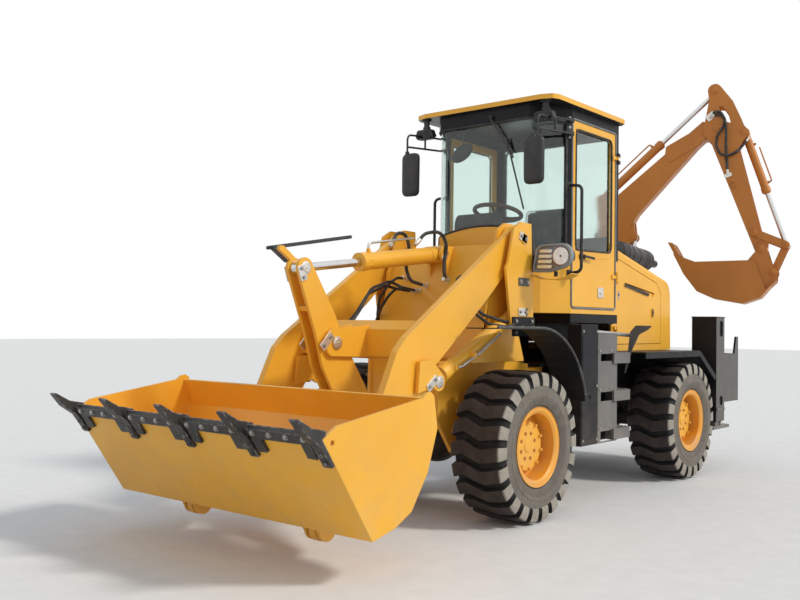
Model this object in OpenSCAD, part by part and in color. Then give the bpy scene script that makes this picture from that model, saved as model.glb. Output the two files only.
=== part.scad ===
// Compact articulated wheel loader with a side-shift digging arm at the back.
// +X points forwards, +Y to the machine's left, +Z up. Side views are drawn with the front axle at
// x = 0 and the ground at z = 0, and every piece is then moved back to the middle of the machine.

/* [Wheels] */
// Distance between the two axles
wheelbase = 2640; // [2500:10:2800]
// Distance from the machine's middle to the middle of a tyre
track_half = 700; // [690:5:740]
// Outer radius of a tyre, out to the tips of its lugs
tyre_r = 530; // [510:5:540]
// Width of a tyre
tyre_w = 410; // [380:5:410]
// Depth of the grooves between the lugs
lug_h = 34; // [24:1:40]
// Number of lugs round a tyre
lug_n = 22; // [20:1:26]
// Radius of the rim under the tyre's bead
rim_r = 254; // [240:1:260]
// Height of the rim's flange over the bead seat
flange_h = 24; // [16:1:30]

/* [Chassis] */
// Distance from the front axle back to the articulation pin
pivot_back = 1320; // [1280:10:1360]
// Radius of the articulation pins
pivot_pin_r = 40; // [32:1:46]
// Half the width of the chassis rails
rail_y = 300; // [280:5:320]
// Thickness of the chassis plates
plate_t = 30; // [20:1:34]
// Radius of an axle tube
axle_r = 85; // [70:1:100]
// Half the width of the rear hood
hood_y = 530; // [500:5:545]

/* [Loader] */
// Height of the pin that the lift arms turn on
lift_z = 2000; // [1980:5:2020]
// Distance from the machine's middle to the middle of a lift arm
arm_y = 550; // [545:1:555]
// Thickness of a lift arm's plate
arm_t = 50; // [40:1:54]
// Half the width of the loader bucket
bucket_y = 1105; // [1080:5:1120]
// Thickness of the loader bucket's plates
bucket_t = 16; // [12:1:20]
// Number of teeth on the loader bucket
tooth_n = 5; // [4:1:6]
// Radius of a lift cylinder
lift_cyl_r = 52; // [44:1:54]
// Radius of the tilt cylinder
tilt_cyl_r = 60; // [50:1:64]

/* [Cab] */
// Half the width of the cab
cab_y = 620; // [600:5:640]
// Height of the cab's floor
cab_floor_z = 1470; // [1450:5:1490]
// Height of the roof's underside
roof_z = 3100; // [3060:5:3140]
// Thickness of the roof
roof_t = 38; // [30:1:60]
// Thickness of the glass
glass_t = 6; // [5:1:8]

/* [Digging arm] */
// Distance from the shift rails' back face to the swing axis
post_reach = 280; // [260:5:310]
// How far the digging arm is shifted to the machine's right
post_side = 712; // [640:2:712]
// Angle that the arm is swung from straight back towards the machine's left
swing_rest = 75; // [70:1:80]
// Half the width of the boom
boom_w = 80; // [70:1:84]
// Half the width of the digging bucket
dig_w = 200; // [180:5:240]
// Lift of a stabiliser's foot over the ground
foot_lift = 400; // [350:10:420]

/* [Hidden] */
$fn = 48;
// Distance from the front axle back to the middle of the machine's length
middle_back = 1130;
// Slack between a pin and its bore, between pieces that slide, and between faces that meet
pin_gap = 0.3;
slide_gap = 0.6;
seat_gap = 0.3;

paint = "#e9a72c";
chassis_black = "#23252a";
step_grey = "#6e6f72";

// Shared helpers

// Points along an arc, from angle a0 to a1
function arc(c, r, a0, a1, n = 6) = [for (i = [0:n]) c + r * [cos(a0 + (a1 - a0) * i / n),
    sin(a0 + (a1 - a0) * i / n)]];
function heading(p, q) = atan2(q[1] - p[1], q[0] - p[0]);
function turned(v, a) = [v[0] * cos(a) - v[1] * sin(a), v[0] * sin(a) + v[1] * cos(a)];
// Outline round two circles
function link_outline(p, q, rp, rq) = let (a = heading(p, q))
    concat(arc(p, rp, a + 90, a + 270, 8), arc(q, rq, a - 90, a + 90, 8));
// A path given a thickness on its left side, with mitred corners
function leg_dir(p, i) = let (a = heading(p[i], p[i + 1])) [cos(a), sin(a)];
function mitre(p, i) = let (n = len(p) - 1, u = leg_dir(p, max(0, i - 1)), v = leg_dir(p, min(n - 1, i)),
    s = [-u[1] - v[1], u[0] + v[0]]) s * 2 / (s * s);
function ribbon(p, t) = concat(p, [for (i = [len(p) - 1:-1:0]) p[i] + t * mitre(p, i)]);

// A flat plate drawn in the side view, from y0 to y1
module slab(pts, y0, y1) translate([0, y1, 0]) rotate([90, 0, 0])
    linear_extrude(y1 - y0) polygon(pts);
// A round bar or hole along Y, centred on a side-view point
module cross_pin(p, r, y0, y1) translate([p[0], y1, p[1]]) rotate([90, 0, 0])
    cylinder(r = r, h = y1 - y0);
// A round bar between two points in space
module rod_between(a, b, r) {
    v = b - a;
    translate(a) rotate([0, acos(v[2] / norm(v)), atan2(v[1], v[0])]) cylinder(r = r, h = norm(v));
}
// A tube bent round its points
module tube_path(pts, r) {
    for (i = [0:len(pts) - 2]) rod_between(pts[i], pts[i + 1], r);
    // A little fatter than the tube at its bends, so that no two faces touch along a curve
    for (i = [1:len(pts) - 2]) translate(pts[i]) sphere(r = r * 1.06);
}
module both_sides() {
    children();
    mirror([0, 1, 0]) children();
}
// Moves what is drawn from the front axle to the machine's own origin
module placed() translate([middle_back, 0, 0]) children();

// A hydraulic barrel in the side view: eye at p, gland at length len along the heading
module barrel(p, dir, len, r, eye_r, eye_w, pin_r, rod_r) translate([p[0], 0, p[1]])
    rotate([0, -dir, 0]) difference() {
        union() {
            rotate([90, 0, 0]) cylinder(r = eye_r, h = eye_w, center = true);
            translate([eye_r * 0.7, 0, 0]) rotate([0, 90, 0]) cylinder(r = r, h = len - eye_r * 0.7);
            translate([len - 60, 0, 0]) rotate([0, 90, 0]) cylinder(r = r + 5, h = 60);
        }
        rotate([90, 0, 0]) cylinder(r = pin_r + pin_gap, h = eye_w + 2, center = true);
        translate([eye_r + 25, 0, 0]) rotate([0, 90, 0]) cylinder(r = rod_r + slide_gap, h = len);
    }
// A piston rod in the side view: eye at p, running back along the heading
module piston(p, dir, len, r, eye_r, eye_w) translate([p[0], 0, p[1]]) rotate([0, -dir, 0]) {
    rotate([90, 0, 0]) cylinder(r = eye_r, h = eye_w, center = true);
    translate([-len, 0, 0]) rotate([0, 90, 0]) cylinder(r = r, h = len);
}

// Wheels

axle_z = tyre_r;
flange_r = rim_r + flange_h;
bead_gap = 0.2;
// Distance from the tyre's middle plane to the outside of the bead
bead_half = tyre_w * 0.42;
rim_half = bead_half + 10;
hub_r = 130;
// The wheel's mounting face, measured from the tyre's middle plane, inwards
hub_in = 100;
axle_end = track_half - hub_in;

tyre_half = tyre_w / 2;
groove_r = tyre_r - lug_h;
// Half the length of a lug round the tyre, and how far its middle leads and its flanks trail
lug_half = PI * groove_r / lug_n * 0.66;
lug_lead = 26;
// Where a lug bends, across the tyre
lug_bend = [-tyre_half, -tyre_half * 0.52, tyre_half * 0.24, tyre_half];
lug_sway = [-0.4 * lug_lead, lug_lead, -lug_lead, -0.2 * lug_lead];
// Flat crown of a lug, low enough that its corners stay within the tyre's radius
lug_top = sqrt(tyre_r * tyre_r - (lug_half + lug_lead) * (lug_half + lug_lead));
module lug() intersection() {
    translate([0, 0, groove_r - 90]) linear_extrude(lug_top - groove_r + 90) polygon(concat(
        [for (i = [0:3]) [lug_sway[i] - lug_half, lug_bend[i]]],
        [for (i = [3:-1:0]) [lug_sway[i] + lug_half, lug_bend[i]]]));
    rotate([90, 0, 90]) linear_extrude(4 * lug_half, center = true) polygon([[-tyre_half, groove_r - 80],
        [-tyre_half, tyre_r - 84], [-tyre_half + 14, tyre_r - 34], [-tyre_half + 56, lug_top],
        [tyre_half - 56, lug_top], [tyre_half - 14, tyre_r - 34], [tyre_half, tyre_r - 84],
        [tyre_half, groove_r - 80], [tyre_half - 40, groove_r - 80], [tyre_half - 60, groove_r - 20],
        [60 - tyre_half, groove_r - 20], [40 - tyre_half, groove_r - 80]]);
}
module tyre_shape() {
    rotate([90, 0, 0]) rotate_extrude($fn = 96) polygon(concat(
        [[rim_r + bead_gap, -bead_half], [flange_r + 6, -bead_half - 4], [flange_r + 60, -tyre_half + 6],
            [tyre_r - 110, -tyre_half + 4], [groove_r - 26, -tyre_half + 26], [groove_r, -tyre_half + 60]],
        [[groove_r, tyre_half - 60], [groove_r - 26, tyre_half - 26], [tyre_r - 110, tyre_half - 4],
            [flange_r + 60, tyre_half - 6], [flange_r + 6, bead_half + 4], [rim_r + bead_gap, bead_half]]));
    for (i = [0:lug_n - 1]) rotate([0, i * 360 / lug_n, 0]) lug();
}
module rim_shape() {
    // Columns: radius, distance from the tyre's middle plane towards the outside
    rotate([-90, 0, 0]) rotate_extrude($fn = 96) polygon([[0, -hub_in + seat_gap], [hub_r,
        -hub_in + seat_gap],
        [hub_r, -6], [150, 10], [205, 28], [rim_r - 24, 20], [rim_r - 24, -rim_half + 14],
        [rim_r - 6, -rim_half + 2], [flange_r - 6, -rim_half], [flange_r, -rim_half - 6],
        [flange_r, -rim_half + 4], [rim_r + 1, -bead_half - 5], [rim_r, -bead_half],
        [rim_r, bead_half], [rim_r + 1, bead_half + 5], [flange_r, rim_half - 4],
        [flange_r, rim_half + 6], [flange_r - 6, rim_half], [rim_r - 6, rim_half - 2],
        [rim_r - 24, rim_half - 14], [rim_r - 24, 44], [205, 44], [150, 26], [120, 20],
        [112, 78], [86, 84], [70, 96], [0, 96]]);
}
module wheel_at(x, side) translate([x, side * track_half, axle_z])
    if (side > 0) children(); else rotate([0, 0, 180]) children();

module tyre(x, side) color("#3a3632") placed() wheel_at(x, side) tyre_shape();
module rim(x, side) color("#f0a020") placed() wheel_at(x, side) rim_shape();

// An axle with its differential, drawn at the origin
module axle_shape() {
    rotate([90, 0, 0]) cylinder(r = axle_r, h = 2 * axle_end, center = true);
    sphere(r = 190);
    both_sides() translate([0, axle_end, 0]) rotate([90, 0, 0]) cylinder(r = 150, h = 60);
    both_sides() translate([0, 530, 0]) rotate([90, 0, 0]) cylinder(r1 = 130, r2 = axle_r, h = 170);
}

// Rear machine

pivot_x = -pivot_back;
rear_x = -wheelbase;
// Heights of the two articulation lugs' middles, and their thickness
lug_z = [560, 1000];
lug_t = 40;
fork_gap = 5;
swing_r = 120;
rail_z = [640, 860];
// Back end of the side rails
rail_end = rear_x - tyre_r - 30;

steer_base = [-1880, 200];
steer_eye = [-1040, 240];
steer_z = 780;
steer_pin_r = 20;
steer_eye_w = 78;
shelf_z = 1146;
shelf_t = 14;
shelf_x = -1706;
// Two plates over and under a steering cylinder's eye, with their pin
module steer_bracket(p, root_x) {
    for (s = [-1, 1]) translate([0, 0, steer_z + s * (steer_eye_w / 2 + 11) - 9]) linear_extrude(18)
        polygon(concat(arc(p, 34, root_x < p[0] ? -90 : 90, root_x < p[0] ? 90 : 270, 8),
            [[root_x, p[1] + (root_x < p[0] ? 45 : -45)], [root_x, p[1] - (root_x < p[0] ? 45 : -45)]]));
}
module rear_chassis() color(chassis_black) placed() {
    difference() {
        union() {
            // Side rails, stepping up over the rear axle, with their axle seats
            both_sides() slab([[pivot_x - 420, 520], [pivot_x - 420, shelf_z], [rear_x - 220, shelf_z],
                [rail_end, 1080], [rail_end, 640], [rear_x - 90, 640], [rear_x - 90, 560],
                [rear_x + 90, 560], [rear_x + 220, 640], [rear_x + 340, 640], [-1950, 520]],
                rail_y, rail_y + plate_t);
            // Fork plates over and under each lug
            for (z = lug_z) for (s = [-1, 1]) translate([0, 0, z + s * (lug_t / 2 + fork_gap + 13) - 13])
                linear_extrude(26) polygon(concat(arc([pivot_x, 0], swing_r, 90, -90, 10),
                    [[pivot_x - 430, -rail_y - plate_t / 2], [pivot_x - 430, rail_y + plate_t / 2]]));
            // Cross members
            translate([-1990, -rail_y - 5, 540]) cube([50, 2 * rail_y + 10, 540]);
            translate([rail_end, -rail_y - 5, 640]) cube([60, 2 * rail_y + 10, 440]);
            // Mudguards over the rear wheels, turned down at their outer edge
            both_sides() {
                slab(ribbon([[shelf_x, shelf_z], [rear_x - 220, shelf_z], [rail_end - 45, 905]], -shelf_t),
                    rail_y + plate_t - 5, 880);
                slab(ribbon([[shelf_x, shelf_z - 40], [rear_x - 220, shelf_z - 40], [rail_end - 30, 872]],
                    -44), 866, 880);
            }
            // Cab bearers, their sills and their slanting supports
            for (x = [-980, -1660]) translate([x, -600, 1390]) cube([80, 1200,
                cab_floor_z - seat_gap - 1390]);
            both_sides() translate([-1700, 566, 1396]) cube([800, 50, cab_floor_z - seat_gap - 1396]);
            both_sides() slab([[-1760, 1060], [-1560, 1060], [-880, 1360], [-880, 1400],
                [-1760, 1400]], rail_y, rail_y + plate_t);
            both_sides() steer_bracket(steer_base, -1940.1);
        }
        // Room for the axle's tube
        cross_pin([rear_x, axle_z], axle_r + seat_gap, -rail_y - 60, rail_y + 60);
    }
    // Articulation pins
    for (z = lug_z) translate([pivot_x, 0, z - lug_t / 2 - 31]) cylinder(r = pivot_pin_r, h = lug_t + 62);
    // Steering cylinders' pins
    both_sides() translate([steer_base[0], steer_base[1], steer_z - 62]) cylinder(r = steer_pin_r, h = 124);
}
module rear_axle() color(chassis_black) placed() translate([rear_x, 0, axle_z]) axle_shape();
module engine() color("#3d4a45") placed() {
    translate([-2850, -250, axle_z + 200]) cube([860, 500, 1400 - axle_z]);
    // Mounting feet down to the rails
    both_sides() for (x = [-2780, -2100]) translate([x, 249.9, 900]) cube([80, rail_y - 250.2, 60]);
}

hood_t = 16;
hood_base_z = shelf_z + shelf_t + seat_gap;
hood_front = -1764;
hood_front_z = 2085;
hood_slope = 12.7;
hood_r = 148;
// Height of the hood's sloping top
function hood_top(x) = hood_front_z + (x - hood_front) * tan(hood_slope);
hood_c = [-2868, hood_top(-2868 - hood_r * sin(hood_slope)) - hood_r * cos(hood_slope)];
hood_profile = concat([[hood_front, hood_base_z], [hood_front, hood_front_z]],
    arc(hood_c, hood_r, 90 + hood_slope, 175, 6), [[-3030, hood_base_z]]);
hood_inside = concat([[hood_front + 20, 1100], [hood_front + 20, hood_top(hood_front + 20) - hood_t - 2]],
    arc(hood_c, hood_r - hood_t, 90 + hood_slope, 175, 6), [[-3012, 1100]]);
// An engine door fills most of the hood's side, below the slope of the top
door_front = -1850;
door_back = -2770;
door_low = 1215;
door_profile = [[door_front, door_low], [door_front, 1975], [-2680, 1788], [door_back, 1690],
    [door_back, door_low]];
door_gap = 5;
door_slot = [[-2010, 1765], [-2040, 1722], [-2600, 1652], [-2630, 1690]];
module hood() color(paint) placed() {
    difference() {
        hull() for (e = [[0, 40], [12, 12], [40, 0]]) slab([for (p = hood_profile)
            [p[0] > -1800 ? p[0] : p[0] + e[0] * (p[0] + 2300) / -730, p[1] > 1200 ? p[1] - e[0] : p[1]]],
            -hood_y + e[1], hood_y - e[1]);
        slab(hood_inside, -hood_y + 42, hood_y - 42);
        both_sides() slab(hood_inside, hood_y - 43, hood_y - hood_t);
        for (s = [-1, 1]) translate([0, s * hood_y, 0]) slab(door_profile, -50, 50);
        // Air slots in the tail
        for (i = [0:6]) translate([-3060, -360, 1260 + i * 58]) cube([140, 720, 30]);
    }
    // Fixed halves of the door hinges
    both_sides() for (z = [1330, 1800]) hinge_fixed([door_front + 14, hood_y + 14, z], 1, hood_y);
}
// A hinge about an upright pin. Fixed half: two knuckles, their pin and a leaf on the wall at y = wall.
knuckle_r = 12;
knuckle_h = 30;
module hinge_fixed(p, dir, wall) {
    for (dz = [-1.5, 0.5]) translate([p[0], p[1], p[2] + dz * knuckle_h]) cylinder(r = knuckle_r,
        h = knuckle_h, $fn = 32);
    translate([p[0], p[1], p[2] - 1.5 * knuckle_h]) cylinder(r = 6, h = 3 * knuckle_h, $fn = 32);
    for (dz = [-1.5, 0.5]) translate([dir > 0 ? p[0] : p[0] - 45, wall - 2, p[2] + dz * knuckle_h])
        cube([45, p[1] - wall + 6, knuckle_h]);
}
// Moving half: one knuckle on the pin, and a leaf that stands off the wall until it meets the door
module hinge_moving(p, dir, wall, reach) {
    difference() {
        union() {
            translate([p[0], p[1], p[2] - 0.5 * knuckle_h + pin_gap]) cylinder(r = knuckle_r,
                h = knuckle_h - 2 * pin_gap, $fn = 32);
            translate([dir > 0 ? p[0] : p[0] - reach, wall + 4, p[2] - 0.5 * knuckle_h + pin_gap])
                cube([reach, 8, knuckle_h - 2 * pin_gap]);
            translate([dir > 0 ? p[0] + reach - 30 : p[0] - reach, wall - 2,
                p[2] - 0.5 * knuckle_h + pin_gap])
                cube([30, 8, knuckle_h - 2 * pin_gap]);
        }
        translate([p[0], p[1], p[2] - knuckle_h]) cylinder(r = 6 + pin_gap, h = 2 * knuckle_h, $fn = 32);
    }
}
module left_or_right(side) if (side > 0) children(); else mirror([0, 1, 0]) children();
module engine_door(side) color(paint) placed() left_or_right(side) {
    difference() {
        slab([[door_front - door_gap, door_low + door_gap], [door_front - door_gap, 1968], [-2677, 1782],
            [door_back + door_gap, 1687], [door_back + door_gap, door_low + door_gap]],
                hood_y - hood_t, hood_y);
        slab(door_slot, hood_y - 30, hood_y + 10);
    }
    // Louvre behind the slot
    slab([for (p = door_slot) [p[0], p[1] - 6]], hood_y - hood_t - 14, hood_y - hood_t + 2);
    // Lock and catch
    slab(concat(arc([-2579, 1530], 22, 0, 180, 6), arc([-2579, 1480], 22, 180, 360, 6)), hood_y - 1,
        hood_y + 8);
    for (z = [1330, 1800]) hinge_moving([door_front + 14, hood_y + 14, z], -1, hood_y, 70);
}
muffler_y = 250;
muffler_slope = -5;
module muffler() color("#2b2b2e") placed() translate([0, muffler_y, 0]) {
    translate([-2400, 0, 2083]) rotate([0, -90 + muffler_slope, 0]) {
        cylinder(r = 100, h = 622);
        translate([0, 0, -50]) cylinder(r1 = 50, r2 = 100, h = 50.1);
        translate([0, 0, 621.9]) cylinder(r1 = 100, r2 = 50, h = 40);
        translate([0, 0, 650]) cylinder(r = 38, h = 185);
        for (z = [90, 520]) translate([0, 0, z]) cylinder(r = 104, h = 26);
    }
    // Saddles down to the hood's sloping top
    for (x = [-2515, -2800]) slab([[x - 20, 2050], [x - 20, hood_top(x - 20) + seat_gap],
        [x + 20, hood_top(x + 20) + seat_gap], [x + 20, 2050]], -45, 45);
}

// Cab

cab_front = -560;
cab_rear = -1700;
cab_sill_z = 1925;
cab_wall = 40;
window_top = roof_z - 110;
// Half of the cab's plan, from the front's middle round to the back's middle
cab_half = [[cab_front, 0], [cab_front, 430], [-635, 500], [-900, cab_y], [cab_rear, cab_y], [cab_rear, 0]];
function plan(h) = concat(h, [for (i = [len(h) - 2:-1:1]) [h[i][0], -h[i][1]]]);
door_x = [-1640, -905];
side_angle = heading(cab_half[3], cab_half[2]);
side_len = norm(cab_half[2] - cab_half[3]);
module cab_block(z0, z1, inset) translate([0, 0, z0]) linear_extrude(z1 - z0)
    offset(delta = -inset) polygon(plan(cab_half));
// Something drawn along the slanting front side, from its back end forwards, x along it and y outwards
module on_side() translate([cab_half[3][0], cab_half[3][1], 0]) rotate([0, 0, side_angle]) children();
module cab_shell() color(paint) placed() {
    difference() {
        cab_block(cab_floor_z, roof_z - seat_gap, 0);
        cab_block(cab_floor_z + 30, roof_z - 60, cab_wall);
        cab_block(roof_z - 70, roof_z + 10, cab_wall + 60);
        // Windscreen and back window
        translate([cab_front - 60, -385, cab_sill_z]) cube([80, 770, window_top - cab_sill_z]);
        translate([cab_rear - 20, -530, 2130]) cube([80, 1060, window_top - 2130]);
        both_sides() on_side() translate([50, -60, 1870]) cube([side_len - 90, 80, window_top - 1870]);
        // Door ways
        for (s = [-1, 1]) translate([door_x[0], s * cab_y - 60, cab_floor_z + 50])
            cube([door_x[1] - door_x[0], 120, roof_z - 90 - cab_floor_z - 50]);
        // Recess in the front panel
        translate([cab_front - 10, -330, 1560]) cube([20, 660, 250]);
    }
    // Fixed halves of the door hinges
    both_sides() for (z = [1791, 2804]) hinge_fixed([door_x[0] - 15, cab_y + 14, z], -1, cab_y);
}
module pane(a, b, z0, z1) translate([a[0], a[1], z0]) rotate([0, 0, heading(a, b)])
    translate([0, -glass_t / 2, 0]) cube([norm(b - a), glass_t, z1 - z0]);
module cab_glass() color([0.6, 0.8, 0.8, 0.4]) placed() {
    pane([cab_front - 20, 384.7], [cab_front - 20, -384.7], cab_sill_z + seat_gap, window_top - seat_gap);
    pane([cab_rear + 20, -529.7], [cab_rear + 20, 529.7], 2130 + seat_gap, window_top - seat_gap);
    both_sides() on_side() pane([50 + seat_gap, -20], [side_len - 40 - seat_gap, -20], 1870 + seat_gap,
        window_top - seat_gap);
}
module cab_roof() color(paint) placed() translate([0, 0, roof_z]) linear_extrude(roof_t)
    polygon([[-508, -560], [-508, 560], [-540, 655], [-600, 679], [-1690, 679], [-1739, 630], [-1739, -630],
        [-1690, -679], [-600, -679], [-540, -655]]);
seat_base_z = cab_floor_z + 30 + seat_gap;
module cab_interior() color("#2c2c30") placed() {
    // Box under the seat, with the frame that holds its back
    translate([-1520, -240, seat_base_z]) cube([420, 480, 330]);
    translate([-1596, -180, seat_base_z]) cube([80, 360, 454.7]);
    translate([-1594, -170, seat_base_z + 430]) rotate([0, -8, 0]) cube([18, 340, 480]);
    // Steering console, column and wheel
    slab([[-620, seat_base_z], [-860, seat_base_z], [-800, 1950], [-640, 1950]], -160, 160);
    rod_between([-730, 0, 1900], [-858, 0, 2089], 28);
    translate([-858, 0, 2089]) rotate([0, -34, 0]) {
        rotate_extrude() translate([185, 0]) circle(r = 15, $fn = 24);
        for (a = [0, 120, 240]) rotate([0, 0, a]) translate([0, -12, -6]) cube([180, 24, 12]);
        cylinder(r = 36, h = 30, center = true);
    }
}
module seat_cushions() color("#2a2e38") placed() {
    translate([-1512, -240, seat_base_z + 330 + seat_gap]) cube([500, 480, 110]);
    translate([-1572, -230, seat_base_z + 455]) rotate([0, -8, 0]) cube([100, 460, 560]);
}
module door(side) color(paint) placed() left_or_right(side) {
    x0 = door_x[0] + 6;
    x1 = door_x[1] - 6;
    z0 = cab_floor_z + 56;
    z1 = roof_z - 96;
    difference() {
        slab([[x0, z0], [x1, z0], [x1, z1], [x0, z1]], cab_y - 34, cab_y);
        slab([[x0 + 60, cab_sill_z + 20], [x1 - 50, cab_sill_z - 40], [x1 - 50, z1 - 60],
            [x0 + 60, z1 - 60]], cab_y - 40, cab_y + 5);
        // Recess round the lock
        translate([x1 - 190, cab_y - 8, 1560]) cube([110, 20, 130]);
    }
    translate([x1 - 165, cab_y - 12, 1590]) cube([60, 18, 70]);
    for (z = [1791, 2804]) hinge_moving([door_x[0] - 15, cab_y + 14, z], 1, cab_y, 75);
}
module door_glass(side) color([0.6, 0.8, 0.8, 0.4]) placed() left_or_right(side)
    slab([[door_x[0] + 66.3, cab_sill_z + 20.4], [door_x[1] - 56.3, cab_sill_z - 39.6],
        [door_x[1] - 56.3, roof_z - 156.3], [door_x[0] + 66.3, roof_z - 156.3]], cab_y - 20,
            cab_y - 20 + glass_t);
mirror_x = -366;
mirror_y = 595;
module cab_fittings() color("#1d1d1f") placed() both_sides() {
    // Mirror in front of the windscreen's corner, on two tubes from the door pillar
    on_side() translate([4, seat_gap, 2850]) cube([56, 44, 170]);
    for (z = [2885, 2990]) rod_between([-850, cab_y + 20, z], [mirror_x, cab_y + 10, z - 45], 9);
    rod_between([mirror_x, cab_y + 10, 2970], [mirror_x, cab_y + 10, 2750], 11);
    translate([mirror_x - 25, mirror_y - 85, 2427]) cube([50, 170, 363]);
    // Lamp under the roof's front corner
    translate([-605, 485, 2925]) cube([90, 190, 90]);
    translate([-575, 560, 3014]) cube([30, 40, roof_z - 3014 - seat_gap]);
    // Grab rail beside the door
    for (z = [1785, 2480]) on_side() translate([4, seat_gap, z - 28]) cube([40, 10, 56]);
    tube_path([[-878, cab_y - 3, 2480], [-872, cab_y + 105, 2465], [-872, cab_y + 105, 1800],
        [-878, cab_y - 3, 1785]], 12);
}
module steps() color(step_grey) placed() both_sides() {
    // Battery box beside the articulation, hung from the cab's bearer
    translate([-1110, 630, 440]) cube([270, 120, 945]);
    translate([-990, 560, 1374]) cube([100, 80, 15.7]);
    // Ladder: two stringers, back plates and three treads
    for (x = [-1125, -1500]) translate([x, 640, 440]) cube([14, 110, 880]);
    translate([-1499, 642, 780]) cube([389, 10, 540]);
    for (z = [441, 755, 1060]) {
        translate([-1499, 641, z]) cube([389, 123, 12]);
        translate([-1499, 753, z - 50]) cube([389, 12, 60]);
    }
    translate([-1740, 643, 443]) cube([245, 119, 8]);
    // Hand rail along the top, and the bent end plate
    tube_path([[-980, 720, 1370], [-1010, 720, 1330], [-1745, 720, 1300]], 16);
    slab([[-1495, 930], [-1690, 1110], [-1770, 1390], [-1730, 1400], [-1640, 1130], [-1495, 1000]],
        712, 728);
}

// Digging arm's frame

leg_front = rail_end - 60;
leg_x = [leg_front - 206, leg_front];
leg_y = [635, 880];
leg_wall = 16;
rail_x = [leg_x[0] - 374, leg_x[0] - 304];
post_back = post_reach - rail_x[0];
low_rail = [650, 760];
top_rail = [1010, 1120];
module backhoe_frame() color(chassis_black) placed() {
    both_sides() difference() {
        translate([leg_x[0], leg_y[0], 470]) cube([leg_x[1] - leg_x[0], leg_y[1] - leg_y[0], 1005]);
        translate([leg_x[0] + leg_wall, leg_y[0] + leg_wall, 460]) cube([leg_x[1] - leg_x[0] - 2 * leg_wall,
            leg_y[1] - leg_y[0] - 2 * leg_wall, 1000]);
    }
    // Cross box, and its arms to the chassis rails
    translate([leg_front - 180, -leg_y[0] - 5, 660]) cube([140, 2 * leg_y[0] + 10, 480]);
    both_sides() translate([leg_front - 41, rail_y, 700]) cube([101 - seat_gap, 20, 360]);
    // Rails that the carriage slides on, and the ribs that carry them
    for (z = [low_rail, top_rail]) translate([rail_x[0], -865, z[0]]) cube([rail_x[1] - rail_x[0],
        1730, z[1] - z[0]]);
    both_sides() slab([[leg_x[0] + 6, 650], [rail_x[0], 650], [rail_x[0], 1290], [rail_x[0] + 50, 1290],
        [rail_x[1] + 30, 1120], [leg_x[0] + 6, 1120]], 860, 880);
    for (y = [-600, -200, 200, 600]) translate([rail_x[1] - 10, y - 15, low_rail[0] + 64])
        cube([leg_front - 170 - rail_x[1], 30, 340]);
}
module stabilizer(side) color(step_grey) placed() left_or_right(side) {
    slack = leg_wall + slide_gap;
    translate([leg_x[0] + slack, leg_y[0] + slack, foot_lift + 30]) cube([leg_x[1] - leg_x[0] - 2 * slack,
        leg_y[1] - leg_y[0] - 2 * slack, 980]);
    translate([leg_front - 310, leg_y[0] - 20, foot_lift]) cube([400, leg_y[1] - leg_y[0] + 30, 30.1]);
}

// Front machine

tower_in = [arm_y - 80, arm_y - 60];
tower_out = [arm_y + 60, arm_y + 80];
lift_pin = [-190, lift_z];
lift_base = [-234, 1468];
lift_eye = [780, 995];
lift_pin_r = 38;
cyl_pin_r = 30;
tilt_base = [29, 1896];
deck_z = 1100;
// The frame is narrower behind the wheels, so that it can swing between the side boxes
neck_y = 200;
module front_chassis() color(paint) placed() {
    // Towers, with the pins of the arm and of the lift cylinder
    both_sides() {
        slab([[-290, 2118], [-328, 1351], [-420, deck_z + 20], [250, deck_z + 20], [60, 1350], [41, 1775],
            [16, 1812], [-57, 2068], [-150, 2120]], tower_in[0], tower_in[1]);
        slab([[-290, 2118], [-328, 1351], [-32, 1349], [41, 1775], [16, 1812], [-57, 2068],
            [-150, 2120]], tower_out[0], tower_out[1]);
        slab([[-328, 1351], [-310, 1351], [-296, 1850], [-314, 1850]], tower_in[0], tower_out[1]);
        translate([-328, tower_in[0], 1351]) cube([118, tower_out[1] - tower_in[0], 16]);
        cross_pin(lift_pin, lift_pin_r, tower_in[0] - 5, tower_out[1] + 8);
        cross_pin(lift_base, cyl_pin_r, tower_in[0] - 5, tower_out[1] + 8);
    }
    // Wall between the towers, and its top beam
    slab([[180, deck_z + 20], [200, deck_z + 20], [-60, 1960], [-80, 1960]], -tower_in[1], tower_in[1]);
    slab([[-280, 1900], [-60, 1900], [-60, 1960], [-280, 1960]], -tower_in[1], tower_in[1]);
    // Ears for the tilt cylinder, with their pin
    both_sides() slab(concat(arc(tilt_base, 66, 60, -90, 6), [[10, 1700], [-30, 1850], [-70, 1959]]),
        tilt_cyl_r + 6, tilt_cyl_r + 30);
    cross_pin(tilt_base, cyl_pin_r, -tilt_cyl_r - 34, tilt_cyl_r + 34);
    // Deck, and side plates down to the axle
    translate([-420, -tower_in[1], deck_z]) cube([670, 2 * tower_in[1], 30]);
    difference() {
        both_sides() {
            slab([[-430, 520], [-430, deck_z + 10], [420, deck_z + 10], [430, 700], [250, 460], [-250,
                460]],
                rail_y, rail_y + plate_t);
            slab([[-900, 520], [-900, 1060], [-500, deck_z + 10], [-400, deck_z + 10], [-400, 520]],
                neck_y, neck_y + plate_t);
        }
        cross_pin([0, axle_z], axle_r + seat_gap, -400, 400);
    }
    translate([380, -rail_y - 5, 640]) cube([30, 2 * rail_y + 10, 480]);
    translate([-880, -neck_y - 5, 540]) cube([30, 2 * neck_y + 10, 500]);
    translate([-430, -rail_y - 5, 540]) cube([30, 2 * rail_y + 10, 560]);
    // Articulation lugs
    for (z = lug_z) translate([0, 0, z - lug_t / 2]) difference() {
        linear_extrude(lug_t) polygon(concat(arc([pivot_x, 0], 100, 90, 270, 12),
            [[-870, -neck_y - plate_t / 2], [-870, neck_y + plate_t / 2]]));
        translate([pivot_x, 0, -1]) cylinder(r = pivot_pin_r + pin_gap, h = lug_t + 2);
    }
    both_sides() steer_bracket(steer_eye, -870);
}
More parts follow.
